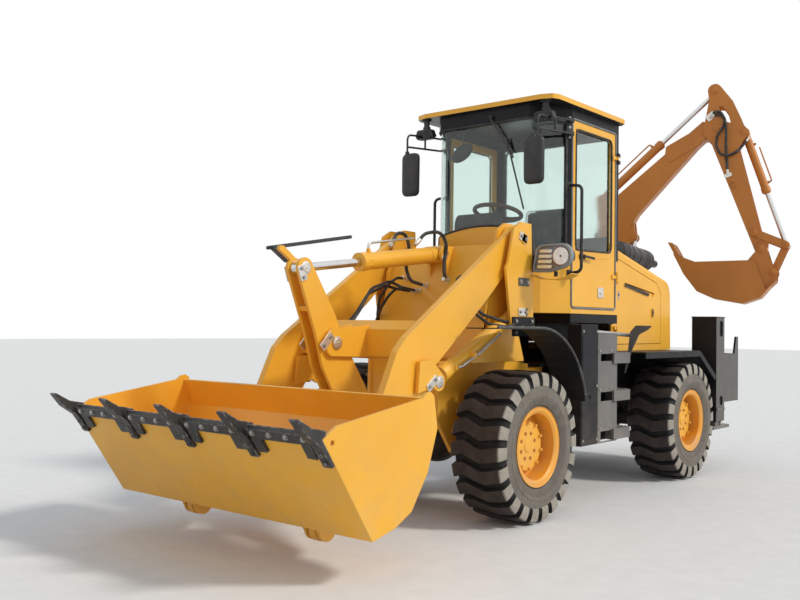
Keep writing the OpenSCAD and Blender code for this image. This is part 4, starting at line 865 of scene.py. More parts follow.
tube("arm_hoses", [
    [on_wall(-0.150, 1.620), (0.250, -0.150, 1.640), (0.400, -0.150, 1.680), (0.600, -0.150, 1.620),
     (0.720, -0.150, 1.460), (0.800, -0.150, 1.375)],
    [on_wall(-0.200, 1.620), (0.250, -0.200, 1.630), (0.390, -0.200, 1.650), (0.580, -0.200, 1.580),
     (0.700, -0.200, 1.440), (0.800, -0.200, 1.360)]], 0.011, hose_rubber,
     ("front_frame", "loader_arm", (0.20, -0.17, 1.66), (0.62, -0.17, 1.58)), bend=0.12)

# %% Crimped ends and fittings in the wall
fittings, hose_ends = [], []
for y, z in ((0.100, 1.700), (-0.090, 1.660), (0.300, 1.720), (0.300, 1.640), (-0.300, 1.720),
             (-0.300, 1.640), (-0.150, 1.620), (-0.200, 1.620)):
    for profile, corners in (([(0, 0.022), (0.010, 0.022), (0.010, 0.017), (0.024, 0.017)], 6),
                             ([(0.020, 0.0155), (0.060, 0.0155), (0.062, 0.0135)], 16)):
        fittings.append(turned(profile, on_wall(y, z, 0.0), (1, 0, 0.08), corners))
for first, second, *_ in front_hoses.values():
    for profile, corners in (([(-0.02, 0.0135), (-0.018, 0.0165), (0.028, 0.0165), (0.030, 0.0135)], 16),
                             ([(-0.03, 0.015), (-0.012, 0.015)], 6)):
        hose_ends.append(turned(profile, first, Vector(second) - Vector(first), corners))
make("wall_fittings", fittings, plate_zinc, "front_frame")
make("tilt_hose_ends", hose_ends, plate_zinc, "tilt_barrel")

# %% [markdown]
# ## Loader: keeper plates
# Each pin is held by a plated keeper: a flat bar over the pin's end, screwed to the plate beside it.
# They are bright against the paint and mark every joint, so each visible one is drawn.

# %% Keeper plates and their screws
# Body, centre in the side view, length, width, degrees, face it lies on
keeper_rows = [
    ("bell_crank", (1.487, 1.680), 0.100, 0.058, 70, 0.058),
    ("loader_arm", (1.290, 1.250), 0.130, 0.058, 135, 0.088),
    ("loader_arm", (0.858, 0.990), 0.120, 0.052, 143, 0.612),
    ("bell_crank", (0.880, 0.815), 0.090, 0.050, 40, 0.058),
    ("front_frame", (0.048, 1.880), 0.090, 0.052, -60, 0.090),
    ("front_frame", (-0.176, 2.008), 0.105, 0.062, 20, 0.630),
    ("front_frame", (-0.178, 1.467), 0.115, 0.056, 0, 0.630),
    ("loader_bucket", (1.760, 0.252), 0.100, 0.050, 120, 0.612)]
keepers, screws, keeper_thick = {}, {}, 0.008
for side, _ in sides:
    for body, centre, long, wide, degrees, face in keeper_rows:
        low, high = sorted((side * face, side * (face + keeper_thick)))
        keepers.setdefault(body, []).append(plate(slanted(centre, long / 2, wide / 2, degrees), low, high))
        a = math.radians(degrees)
        screws.setdefault(body, []).extend(
            ((centre[0] + s * long * math.cos(a), side * (face + keeper_thick),
              centre[1] + s * long * math.sin(a)),
             (0, side, 0)) for s in (-0.30, 0.30))
for body, shapes in keepers.items():
    make("keepers_on_" + body, shapes, plate_zinc, body, bevel=0.0015)
    bolts("keeper_screws_on_" + body, screws[body], 0.011, 0.009, body=body)

# %% Slotted plates on the towers, pin caps and grease nipples
caps = {"loader_arm": [(hinge_pin, 0.581, 0.030), (lift_eye, 0.612, 0.028), (crank_pin, 0.092, 0.030)],
        "bell_crank": [(crank_top, 0.058, 0.030), ((0.840, 0.790), 0.058, 0.026)]}
for body, pins in caps.items():
    make("pin_caps_on_" + body, [
        turned([(0, radius + 0.012), (0.006, radius + 0.012), (0.008, radius), (0.012, radius - 0.004),
                (0.012, 0.006), (0.020, 0.005)], in_plan(pin, side * face), (0, side, 0), 28)
        for pin, face, radius in pins for side, _ in sides], plate_zinc, body)
tower_face = 0.630
pair(make, "tower_slot_plate", [plate(slanted((-0.190, 1.685), 0.070, 0.030, 0, 0.006), tower_face,
                                      tower_face + 0.006)], seal_rubber, body="front_frame", bevel=0.0015)
pair(bolts, "tower_slot_bolts", [((x, tower_face + 0.006, 1.685), out) for x in (-0.235, -0.145)],
     body="front_frame")
print("keepers on", sorted(keepers))

# %% [markdown]
# ## Cab: mirrors, lamps and rails
# The plain black stand-ins round the cab give way to real ones. A mirror is a moulded shell that is
# rounder in front than behind, so it is lofted through a few outlines of the same kind, and so are the
# lamps. Their tubes and the grab rails are bent pipe.

# %% Lofting through outlines
def lofted(outline, sections, plane="yz"):
    """Sections are (place across, how far the outline is drawn in there)."""
    middle = [sum(p[axis] for p in outline) / len(outline) for axis in (0, 1)]
    reach = max(abs(p[axis] - middle[axis]) for p in outline for axis in (0, 1))
    tiny, verts = 0.02, []
    for w, inset in sections:
        for point in outline:
            off = [point[axis] - middle[axis] for axis in (0, 1)]
            share = [max(0.0, 1 - inset / abs(d)) if abs(d) > tiny else 1 - inset / reach for d in off]
            verts.append(Vector(planes[plane](middle[0] + off[0] * share[0], middle[1] + off[1] * share[1],
                                              w)))
    return verts, skinned(len(sections), len(outline))


# %% Mirrors on their frames
side_corner = Vector((-0.900, 0.620, 0))
side_along, side_out = Vector((0.911, -0.412, 0)), Vector((0.412, 0.911, 0))


def on_side(a0, a1, o0, o1, z0, z1):
    """A block on the cab's slanted front side, a along it and o out of it."""
    corners = [side_corner + side_along * a + side_out * o
               for a, o in ((a0, o0), (a1, o0), (a1, o1), (a0, o1))]
    return plate([(c.x, c.y) for c in corners], z0, z1, plane="xy")


case = rounded([(0.512, 2.430), (0.678, 2.430), (0.680, 2.787), (0.510, 2.787)], 0.048, 6)
pair(make, "mirror_shell", [
    lofted(case, [(-0.389, 0.006), (-0.386, 0.0), (-0.364, 0.0), (-0.353, 0.006), (-0.346, 0.018),
                  (-0.343, 0.034)]),
    turned([(0, 0.017), (0.030, 0.017)], (-0.366, 0.630, 2.775), (0, 0, 1), 16),
    on_side(0.004, 0.060, 0.0005, 0.010, 2.850, 3.020), on_side(0.008, 0.056, 0.010, 0.040, 2.868, 2.902),
    on_side(0.008, 0.056, 0.010, 0.040, 2.973, 3.007)], black_plastic, bevel=0.002, replaces="cab_fittings")
pair(make, "mirror_glass", [lofted(case, [(-0.3912, 0.013), (-0.3885, 0.013)])], mirror_glass)
pair(tube, "mirror_frame", [
    [(-0.860, 0.640, 2.990), (-0.366, 0.630, 2.948), (-0.366, 0.630, 2.780)],
    [(-0.860, 0.640, 2.885), (-0.366, 0.630, 2.845)], [(-0.610, 0.635, 2.968), (-0.610, 0.635, 2.866)]],
     0.0085, black_plastic)
pair(bolts, "mirror_bolts", [(side_corner + Vector((0, 0, z)) + side_along * 0.032 + side_out * 0.011,
                              side_out)
                             for z in (2.860, 2.938, 3.012)], 0.008, 0.006)

# %% Work lamps under the roof
case = rounded([(0.487, 2.955), (0.510, 2.928), (0.650, 2.928), (0.673, 2.955), (0.655, 3.012),
                (0.505, 3.012)], 0.014)
lamp_panes = [rounded(outline, 0.010) for outline in (
    [(0.500, 2.940), (0.578, 2.938), (0.578, 2.992), (0.512, 2.998)],
    [(0.582, 2.938), (0.660, 2.940), (0.648, 2.998), (0.582, 2.992)])]
pair(make, "work_lamp", [
    lofted(case, [(-0.604, 0.030), (-0.598, 0.014), (-0.575, 0.002), (-0.524, 0.0), (-0.518, 0.004)]),
    block((-0.572, 0.558, 3.008), (-0.548, 0.602, 3.090)),
    block((-0.585, 0.545, 3.088), (-0.535, 0.615, 3.0995)),
    bar((-0.560, 0.548, 3.030), (-0.560, 0.612, 3.030), 0.012)], black_plastic, slot="lamp_black",
     bevel=0.003)
pair(make, "work_lamp_reflectors", [plate(p, -0.5185, -0.5165, "yz") for p in lamp_panes], plate_zinc)
pair(make, "work_lamp_lenses", [lofted(p, [(-0.5165, 0.0), (-0.5135, 0.002)]) for p in lamp_panes],
     lamp_glass)

# %% Grab rails and their feet
pair(tube, "grab_rail", [[(-0.878, 0.622, 2.480), (-0.872, 0.725, 2.468), (-0.872, 0.725, 1.797),
                          (-0.878, 0.622, 1.785)]], 0.0125, black_plastic, bend=0.045, sides=14)
pair(make, "grab_rail_feet", [on_side(0.004, 0.044, 0.0005, 0.0080, z - 0.028, z + 0.028)
                              for z in (1.785, 2.480)],
     black_plastic, bevel=0.002)

# %% [markdown]
# ## Cab: head lamps
# A head lamp is a black bucket, a reflector of ribs and a bowl, a bright rim, and a clear lens. The
# lens is real glass in front of the reflector, so light goes in and comes back.

# %% Head lamps
lamp_line = rounded([(0.648, 1.772), (0.672, 1.912), (0.700, 1.934), (0.868, 1.936), (0.908, 1.900),
                     (0.910, 1.838), (0.872, 1.796), (0.760, 1.768)], 0.020)


# Where the drawn lamp's inner side and foot are, where they go, and how much it grows from there
drawn_side, drawn_foot, lamp_side, lamp_foot, wider, higher = 0.648, 1.768, 0.650, 1.757, 1.235, 1.22


def head_lamp(part, shapes, material, **more):
    """Both lamps' part, as wide and high as the photo shows, grown away from the bracket."""
    grown_shapes = [([(x, lamp_side + (y - drawn_side) * wider if y > drawn_side else y,
                       lamp_foot + (z - drawn_foot) * higher) for x, y, z in verts], faces)
                    for verts, faces in shapes]
    pair(make, "head_lamp_" + part, grown_shapes, material, body="front_frame", **more)


def bowl(profile, x, corners):
    return turned(profile, (x, 0.838, 1.862), (1, 0, 0), corners)


head_lamp("bucket", [
    lofted(lamp_line, [(-0.404, 0.050), (-0.398, 0.034), (-0.360, 0.012), (-0.318, 0.001), (-0.306, 0.001)]),
    block((-0.350, 0.631, 1.790), (-0.322, 0.672, 1.880)),
    block((-0.372, 0.631, 1.775), (-0.302, 0.636, 1.895)),
    bar((-0.336, 0.780, 1.744), (-0.336, 0.780, 1.775), 0.012)], black_plastic, slot="lamp_black",
          bevel=0.002,
    replaces="headlamps")
lip, lip_faces = lofted(lamp_line, [(-0.309, -0.001), (-0.276, -0.001), (-0.270, 0.004), (-0.272, 0.011),
                                    (-0.300, 0.013)])
head_lamp("rim", [(lip, lip_faces[:-2])], lamp_body)
head_lamp("back", [lofted(lamp_line, [(-0.306, 0.012), (-0.302, 0.012)])], lamp_body)
ribs = []
for k in range(4):
    z, y = 1.795 + k * 0.031, 0.664 + k * 0.005
    ribs.append(plate(rounded([(y + 0.010, z), (0.770, z - 0.004), (0.778, z + 0.016),
                               (y + 0.014, z + 0.018)], 0.006),
                      -0.300, -0.288, "yz"))
head_lamp("reflector", ribs + [bowl([(0.024, 0.052), (0.018, 0.048), (0.008, 0.034), (0.003, 0.016),
                                     (0.002, 0.001)],
                                    -0.302, 32)], lamp_silver, bevel=0.001)
head_lamp("signal", [bowl([(0.0, 0.062), (0.010, 0.062), (0.010, 0.054), (0.0, 0.054), (0.0, 0.062)], -0.299,
                          40)],
          signal_red)
head_lamp("bulb", [bowl([(0, 0.012), (0.014, 0.012), (0.018, 0.007)], -0.296, 16)], lamp_body)
head_lamp("lens", [lofted(lamp_line, [(-0.281, 0.012), (-0.2765, 0.012), (-0.2735, 0.030)])], lamp_glass)
apron = [(0.632, 1.756), (0.700, 1.733), (0.780, 1.727), (0.850, 1.734), (0.905, 1.760)]
head_lamp("apron", [plate(apron + [(y, z - 0.005) for y, z in reversed(apron)], -0.405, -0.285, "yz")],
          gold_paint, bevel=0.0015)

# %% [markdown]
# ## Cab: seals, handle, wiper and inner mirror
# Rubber strips run round every opening: grey-blue round the doors, black round the panes. Each is a
# closed line of points swept as a tube, which gives the soft round lip a real seal shows.

# %% Rubber round the openings, and what is on the doors
def loop(points):
    """A closed line starts and ends in the middle of its first side, so that all corners are bent."""
    start = tuple((Vector(points[0]) + Vector(points[1])) / 2)
    return [start, *points[1:], points[0], start]


def frame_loop(a0, a1, z0, z1, place):
    """A closed rectangle; `place` puts a distance along it and a height in space."""
    return loop([place(a, z) for a, z in ((a0, z0), (a1, z0), (a1, z1), (a0, z1))])


seal_out, on_door = 0.6215, {"body": "door_SIDE"}
tube("door_frame_seals", [frame_loop(-1.645, -0.902, 1.515, 3.014, lambda x, z: (x, side * seal_out, z))
                          for side, _ in sides], 0.0085, pale_seal, bend=0.03, sides=10)
pair(tube, "door_pane_seal", [loop([(-1.572, seal_out, 1.992), (-0.963, seal_out, 1.977),
                                    (-0.963, seal_out, 2.942), (-1.572, seal_out, 2.942)])], 0.0075,
     hose_rubber, bend=0.05, sides=10, **on_door)
pair(make, "door_pane_sill", [plate([(-1.5735, 1.9455), (-0.9615, 1.8855), (-0.9615, 1.974),
                                     (-1.5735, 1.989)],
                                    0.6065, 0.6195)], gold_paint, bevel=0.001, **on_door)
pair(make, "door_handle", [
    plate(slanted((-1.070, 1.928), 0.045, 0.022, 0), 0.6205, 0.630),
    bar((-1.060, 0.628, 1.928), (-1.060, 0.652, 1.928), 0.011),
    plate(slanted((-1.135, 1.926), 0.085, 0.010, 3, 0.006), 0.648, 0.660)], black_plastic, bevel=0.003,
     **on_door)
pair(make, "door_lock_plate", [
    plate(slanted((-1.385, 1.650), 0.048, 0.042, 0, 0.010), 0.6202, 0.6260),
    turned([(0, 0.018), (0.006, 0.016)], (-1.385, 0.626, 1.650), (0, 1, 0), 18)], plate_zinc, bevel=0.001,
     **on_door)
pair(bolts, "door_hinge_bolts", [((-1.668, seal_out, z + dz), (0, 1, 0)) for z in (1.791, 2.804)
                                 for dz in (-0.030, 0.030)], 0.007, 0.005, black_paint, slot="chrome_rod")

# %% The solid doors carry a lock recess in another place: copies of them have it closed
def copied(node, name):
    """A new object with a copy of a CAD node's mesh."""
    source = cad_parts[node]
    mesh = source.data.copy()
    mesh.name = name
    made = linked(name, mesh)
    made.matrix_world = source.matrix_world
    return made


def painted_over(piece, material, body, **more):
    """Gives a piece one material all over and settles it."""
    piece.data.materials.clear()
    piece.data.materials.append(material)
    piece.data.polygons.foreach_set("material_index", [0] * len(piece.data.polygons))
    return settle(piece, material, body, **more)


recess_x, recess_z, recess_floor = -1.046, 1.625, 0.6115
recess_half_long, recess_half_high = 0.0562, 0.0662


def in_recess(point):
    return (abs(point.x - mid - recess_x) < recess_half_long and abs(point.z - recess_z) < recess_half_high
            and abs(point.y) > recess_floor)


for _, end in sides:
    door = copied("door_" + end, "door_skin_" + end)
    skin = bmesh.new()
    skin.from_mesh(door.data)
    bmesh.ops.delete(skin, geom=[f for f in skin.faces if in_recess(f.calc_center_median())], context="FACES")
    rim = [e for e in skin.edges if e.is_boundary and all(in_recess(v.co) for v in e.verts)]
    bmesh.ops.holes_fill(skin, edges=rim, sides=0)
    print("door recess closed:", len(rim), "edges, open now:", sum(e.is_boundary for e in skin.edges))
    skin.to_mesh(door.data)
    skin.free()
    painted_over(door, gold_paint, "door_" + end, replaces="door_" + end)

# %% Wiper and inner mirror
make("wiper", [bar((-0.553, 0.085, 3.030), (-0.535, 0.085, 3.030), 0.016),
               plate(slanted((0.190, 2.865), 0.195, 0.007, -56, 0.004), -0.541, -0.535, "yz"),
               plate(slanted((0.318, 2.560), 0.300, 0.006, -74, 0.003), -0.547, -0.539, "yz"),
               plate(slanted((0.318, 2.560), 0.300, 0.0025, -74, 0.001), -0.552, -0.546, "yz"),
               bar((-0.545, 0.296, 2.690), (-0.533, 0.296, 2.690), 0.010)], black_plastic, bevel=0.001)
oval = [(-0.285 + 0.105 * c - 0.02 * s, 2.800 + 0.062 * s + 0.045 * c) for c, s in round_points(32)]
make("inner_mirror", [lofted(oval, [(-0.676, 0.004), (-0.672, 0.0), (-0.660, 0.002), (-0.652, 0.014)]),
                      bar((-0.664, -0.270, 2.850), (-0.664, -0.255, 3.040), 0.007)], black_plastic)
make("inner_mirror_glass", [lofted(oval, [(-0.6785, 0.006), (-0.6755, 0.006)])], mirror_glass)
print("cab pieces made")

# %% [markdown]
# ## Wrap-round windscreen
# On the real cab one bent pane reaches from door pillar to door pillar, with no post at the corners.
# The CAD shell still has posts there, so a copy of its mesh gets its corners cut away with a Boolean
# against a simple prism, and takes the shell's place. The pane follows the cab's plan, with its
# corners rounded, and is given a thickness across that line.

# %% Cut the corner posts from a copy of the shell
def carved(node, name, shapes, material):
    """A copy of a CAD node takes its place, with closed shapes cut out by exact Booleans."""
    piece, cutters = copied(node, name), []
    for verts, faces in shapes:
        cutter = mesh_object("cutter", [(x + mid, y, z) for x, y, z in verts], faces)
        face_outward(cutter.data)
        cut = piece.modifiers.new("cut", "BOOLEAN")
        cut.operation, cut.object, cut.solver = "DIFFERENCE", cutter, "EXACT"
        cutters.append(cutter)
    mesh = baked(piece)
    piece.modifiers.clear()
    piece.data = mesh
    for cutter in cutters:
        bpy.data.objects.remove(cutter)
    return painted_over(piece, material, "rear_frame", replaces=node)


def both_sides(shapes):
    return [(mirrored(verts, side), faces) for side, _ in sides for verts, faces in shapes]


corner = [(-0.665, 0.383), (-0.480, 0.383), (-0.480, 0.560), (-0.620, 0.600), (-0.652, 0.560),
          (-0.7135, 0.425)]
shell = carved("cab_shell", "cab_shell_open", both_sides([plate(corner, 1.925, 2.990, "xy")]), cab_paint)
print("shell faces:", len(shell.data.polygons))

# %% The bent pane and the flat ones
def beside(line, distance):
    """A line drawn again beside another, with mitred corners."""
    points, result = [Vector(p) for p in line], []
    for i, here in enumerate(points):
        before = (here - points[i - 1]) if i else (points[1] - here)
        after = (points[i + 1] - here) if i < len(points) - 1 else before
        a, b = (Vector((v.y, -v.x)).normalized() for v in (before, after))
        both_ways = a + b
        result.append(tuple(here + both_ways * (2 * distance / both_ways.length_squared)))
    return result


plan_line = [(-0.900, 0.620), (-0.635, 0.500), (-0.560, 0.430), (-0.560, -0.430), (-0.635, -0.500),
             (-0.900, -0.620)]


def along_plan(trim, depth, step=0.05):
    """The plan's line in short steps, shortened at both ends, drawn in by a depth, with rounded corners."""
    points = [Vector(p) for p in beside(plan_line, depth)]
    points[0] += (points[1] - points[0]).normalized() * trim
    points[-1] += (points[-2] - points[-1]).normalized() * trim
    line, result = rounded(points, 0.05, 6, closed=False), []
    for (x0, y0), (x1, y1) in zip(line, line[1:]):
        count = max(1, round(math.hypot(x1 - x0, y1 - y0) / step))
        result += [(x0 + (x1 - x0) * k / count, y0 + (y1 - y0) * k / count) for k in range(count)]
    return result + [line[-1]]


def sill(y):
    """Height of the windscreen's arched lower edge; beyond the corners it drops to the side panes'."""
    return 1.929 if abs(y) > 0.452 else 2.165 - 0.045 * (y / 0.35) ** 2


pane_top, back_half, back_foot = 2.986, 0.527, 2.134
outer, inner = along_plan(0.055, 0.014), along_plan(0.055, 0.020)
bent = []
for (ax, ay), (bx, by) in zip(outer, inner):
    bent += [(ax, ay, sill(ay)), (bx, by, sill(ay)), (bx, by, pane_top), (ax, ay, pane_top)]
back_pane = plate([(-back_half, back_foot), (back_half, back_foot), (back_half, pane_top),
                   (-back_half, pane_top)],
                  -1.690, -1.684, "yz")
make("windscreen_and_back_pane", [(bent, skinned(len(bent) // 4, 4)), back_pane,
                                  *both_sides([on_side(0.054, 0.246, -0.020, -0.014, 1.874, 1.9285)])],
     window_glass, angle=50, replaces="cab_glass")
arch = [(y, sill(y) - 0.004) for y in (0.43 - 0.0215 * k for k in range(41))]
make("windscreen_panel", [plate([(-0.430, 1.912), (0.430, 1.912)] + arch, -0.600, -0.5575, "yz")], gold_paint,
     bevel=0.002)
seal_line = along_plan(0.053, 0.003)
tube("windscreen_seal", [loop([(x, y, sill(y)) for x, y in seal_line] +
                              [(x, y, pane_top) for x, y in reversed(seal_line)])], 0.011, hose_rubber,
     bend=0.02, sides=10)
tube("back_pane_seal", [frame_loop(-back_half, back_half, back_foot, pane_top, lambda y, z: (-1.703, y, z))],
     0.010, hose_rubber, bend=0.045, sides=10)


def on_corner_pane(along, z):
    return side_corner + side_out * 0.003 + side_along * along + Vector((0, 0, z))


tube("corner_pane_seals", [mirrored(frame_loop(0.053, 0.248, 1.875, 1.930, on_corner_pane), side)
                           for side, _ in sides], 0.008, hose_rubber, bend=0.01, sides=10)

# %% [markdown]
# ## Steering wheel and dash
# In the photo the wheel lies higher and flatter than in the solids, over a rounded dash. The solid's
# wheel is cut from a copy of the interior, and the new one takes its place.

# %% Cut the old wheel away, make the new one
carved("cab_interior", "cab_interior_without_wheel",
       [block((-1.120, -0.260, 1.9505), (-0.550, 0.260, 2.420))],
       cab_liner)
hub, lean = Vector((-0.860, -0.050, 2.305)), Matrix.Rotation(math.radians(-14), 4, "Y")


def on_wheel(cosine, sine, radius=0.195, z=0.0):
    return tuple(lean @ Vector((radius * cosine, radius * sine, z)) + hub)


circle = [on_wheel(c, s) for c, s in round_points(48)]
tube("steering_wheel_rim", [circle + [circle[0]]], 0.018, wheel_brown, bend=0.001)
tube("steering_wheel_spokes", [[on_wheel(c, s, 0.02, -0.03), on_wheel(c, s, 0.12, -0.022),
                                on_wheel(c, s, 0.194)]
                               for c, s in round_points(3, 0.3)], 0.010, black_plastic, bend=0.02, sides=10)
under_hub = on_wheel(0, 0, z=-0.045)
make("steering_column", [bar((-0.730, -0.020, 1.945), under_hub, 0.028),
                         turned([(0, 0.030), (0.020, 0.046), (0.040, 0.044), (0.046, 0.034)], under_hub,
                                lean @ Vector((0, 0, 1)), 28)], black_plastic)
make("dash", [plate(rounded([(-0.790, 1.9508), (-0.640, 1.9508), (-0.640, 2.220), (-0.680, 2.290),
                             (-0.740, 2.285), (-0.790, 2.200)], 0.030), -0.340, 0.060)], cab_liner,
     bevel=0.012)

# %% [markdown]
# ## Seat
# A seat's cushions are foam under stretched vinyl: flat blocks would look like stone. Each starts as a
# rounded block, remeshed to small even faces, and is blown up like a balloon for a few frames with
# the Cloth modifier, without gravity. The sides bulge, the corners pull in, and the skin wrinkles a
# little. How far a point may go is capped, so that the cushion keeps its size.

# %% Blow up a cushion
def blown_up(pad, frames=20, furthest=0.014):
    """Lets air pressure work on a closed mesh; no point goes further than a cap."""
    start = [v.co.copy() for v in pad.data.vertices]
    cloth = pad.modifiers.new("blown_up", "CLOTH")
    cloth.settings.use_pressure, cloth.settings.uniform_pressure_force = True, 4
    cloth.settings.effector_weights.gravity, cloth.settings.quality = 0, 5
    cloth.settings.tension_stiffness = cloth.settings.compression_stiffness = 18
    cloth.point_cache.frame_start, cloth.point_cache.frame_end = 1, frames
    for number_of_frame in range(1, frames + 1):
        scene.frame_set(number_of_frame)
    blown = baked(pad)
    scene.frame_set(1)
    pad.modifiers.clear()
    pad.data = blown
    for v, before in zip(pad.data.vertices, start):
        move = v.co - before
        if move.length > furthest:
            v.co = before + move.normalized() * furthest


def cushion(name, low, high, turn, seam):
    """A padded block between two corners, turned by a matrix, with piping along its seam."""
    shape = bmesh.new()
    bmesh.ops.create_cube(shape, size=1)
    size = Vector(high) - Vector(low)
    for v in shape.verts:
        v.co = Vector(low) + Vector((v.co.x * size.x, v.co.y * size.y, v.co.z * size.z)) + size / 2
    bmesh.ops.bevel(shape, geom=list(shape.edges), offset=0.022, segments=4, affect="EDGES")
    bmesh.ops.transform(shape, matrix=turn, verts=shape.verts)
    mesh = bpy.data.meshes.new(name)
    shape.to_mesh(mesh)
    shape.free()
    pad = linked(name, mesh)
    even = pad.modifiers.new("even", "REMESH")
    even.mode, even.voxel_size = "VOXEL", 0.006
    pad.data = baked(pad)
    pad.modifiers.clear()
    blown_up(pad)
    finer = pad.modifiers.new("finer", "SUBSURF")
    finer.levels = finer.render_levels = 1
    pad.data = baked(pad)
    pad.modifiers.clear()
    pad.name = pad.data.name = name
    pad.data.shade_smooth()
    painted_over(pad, seat_vinyl, "rear_frame", replaces="seat_cushions")
    tube(name + "_piping", [[turn @ Vector(p) - Vector((mid, 0, 0)) for p in seam]], 0.004, seat_vinyl,
         bend=0.03, sides=8)
    print(name, "faces:", len(pad.data.polygons))


cushion("seat_pad", (-1.500 + mid, -0.226, 1.8445), (-1.026 + mid, 0.226, 1.926), Matrix.Identity(4),
        frame_loop(-1.490 + mid, -1.034 + mid, -0.218, 0.218, lambda x, y: (x, y, 1.923)))
back_place = Matrix.Translation((-1.572 + mid, 0, 1.955)) @ Matrix.Rotation(math.radians(-8), 4, "Y")
cushion("seat_back", (0.014, -0.216, 0.014), (0.086, 0.216, 0.440), back_place,
        frame_loop(-0.208, 0.208, 0.022, 0.432, lambda y, z: (0.083, y, z)))

# %% [markdown]
# ## Digging arm
# The arm stands swung to the machine's left, so its pieces are written in the arm's own plane: u out
# from the swing axis, z up, and v across. One function turns them into place, and the rest are the
# same turned and cut shapes as on the loader. Their paint is the machine's gold darkened to the orange
# it shows in shade, which is painted shade.

# %% From the arm's plane into the machine
swing, swing_axis = math.radians(180 - 75), (-4.120, -0.712)


def arm_points(points):
    """Points given as (u, v, z) on the swung arm."""
    c, s = math.cos(swing), math.sin(swing)
    return [Vector((swing_axis[0] + u * c - v * s, swing_axis[1] + u * s + v * c, z)) for u, v, z in points]


def arm_piece(name, shapes, material, body, **more):
    make(name, [(arm_points(verts), faces) for verts, faces in shapes], material, body, **more)


def arm_pins(name, pins, body):
    """Round heads with a shoulder and a grease nipple on both ends of each pin."""
    arm_piece(name, [turned([(0, radius + 0.010), (0.004, radius + 0.012), (0.010, radius + 0.010),
                             (0.011, radius - 0.006), (0.016, radius - 0.008), (0.017, 0.007),
                             (0.0225, 0.005)],
                            in_plan(pin, side * face), (0, side, 0), 28)
                     for pin, face, radius in pins for side, _ in sides], gold_in_painted_shade, body)


foot_pin, boom_base, boom_eye, elbow = (0.180, 1.010), (0.318, 0.820), (0.290, 2.390), (1.196, 3.547)
stick_base, stick_eye, dig_base = (-0.080, 2.833), (1.170, 3.965), (1.474, 3.495)
rocker_pin, rocker_end, wrist, ear_pin = (1.582, 2.397), (1.890, 2.261), (1.647, 2.219), (1.764, 1.969)
arm_caps = {
    "swing_post": [(foot_pin, 0.116, 0.034), (boom_base, 0.116, 0.030)],
    "boom": [(boom_eye, 0.080, 0.030), (stick_base, 0.080, 0.028)],
    "stick": [(elbow, 0.110, 0.034), (stick_eye, 0.110, 0.030), (dig_base, 0.110, 0.028)],
    "rocker_link": [(rocker_end, 0.132, 0.0245)], "dig_bucket": [(wrist, 0.160, 0.028),
                                                                 (ear_pin, 0.156, 0.028)]}
for body, pins in arm_caps.items():
    arm_pins("pin_heads_on_" + body, pins, body)
arm_pins("rocker_pin_heads", [(rocker_pin, 0.136, 0.026)], "stick")

# %% Doubler plates, hose bracket and cylinder collars
doubler = rounded([(0.650, 3.388), (0.640, 3.299), (0.684, 3.206), (0.972, 3.365), (1.076, 3.446),
                   (1.135, 3.560), (1.107, 3.631)], 0.02)
root = rounded([(0.060, 1.560), (0.170, 1.560), (0.160, 2.140), (0.060, 2.420), (-0.060, 2.300)], 0.03)
bracket = [slanted(centre, long, wide, -58, 0.002) for centre, long, wide in (
    ((1.360, 2.920), 0.032, 0.006), ((1.345, 2.945), 0.006, 0.022), ((1.376, 2.895), 0.006, 0.022))]
arm_plates = [("boom_doubler_", (doubler, root), 0.0802, 0.087, "boom", 0.002),
              ("stick_bracket_", bracket, 0.1102, 0.128, "stick", 0.001)]
for side, end in ((1, "inner"), (-1, "outer")):
    for name, outlines, near, far, body, bevel in arm_plates:
        arm_piece(name + end, [plate(outline, *sorted((side * near, side * far))) for outline in outlines],
                  gold_in_painted_shade, body, bevel=bevel)


def cylinder_collar(cylinder, base, eye, gland, radius, way_up=1):
    """Gland, ports, a band round the foot and the hard line of an arm cylinder."""
    way = heading_of(base, eye)
    side_way, start, body = Vector((-way.z, 0, way.x)) * way_up, in_plan(base), cylinder + "_barrel"
    shapes = [scalloped(start, way, gland - 0.052, gland - 0.002, radius + 0.0065),
              turned([(gland - 0.002, radius * 0.8), (gland + 0.012, radius * 0.78),
                      (gland + 0.015, radius * 0.65)],
                     start, way, 28),
              turned([(0.095, radius - 0.002), (0.095, radius + 0.003), (0.115, radius + 0.003),
                      (0.115, radius - 0.002)], start, way, 32)]
    ports = [start + way * along for along in (0.15, gland - 0.10)]
    shapes += [turned([(0, 0.015), (0.020, 0.015), (0.020, 0.011), (0.030, 0.011)],
                      port + side_way * (radius - 0.004), side_way, 12) for port in ports]
    arm_piece(cylinder + "_gland", shapes, gold_in_painted_shade, body)
    low, high = (port + side_way * (radius + 0.026) for port in ports)
    up = side_way * 0.018
    tube(cylinder + "_pipe", [arm_points([high, high + up, low + up + way * 0.06, low + way * 0.05 + up])],
         0.008, gold_in_painted_shade, body, bend=0.02, sides=10)


cylinder_collar("boom", boom_base, boom_eye, 1.010, 0.050, way_up=-1)
cylinder_collar("stick", stick_base, stick_eye, 0.910, 0.046)
cylinder_collar("dig", dig_base, rocker_end, 0.693, 0.042)

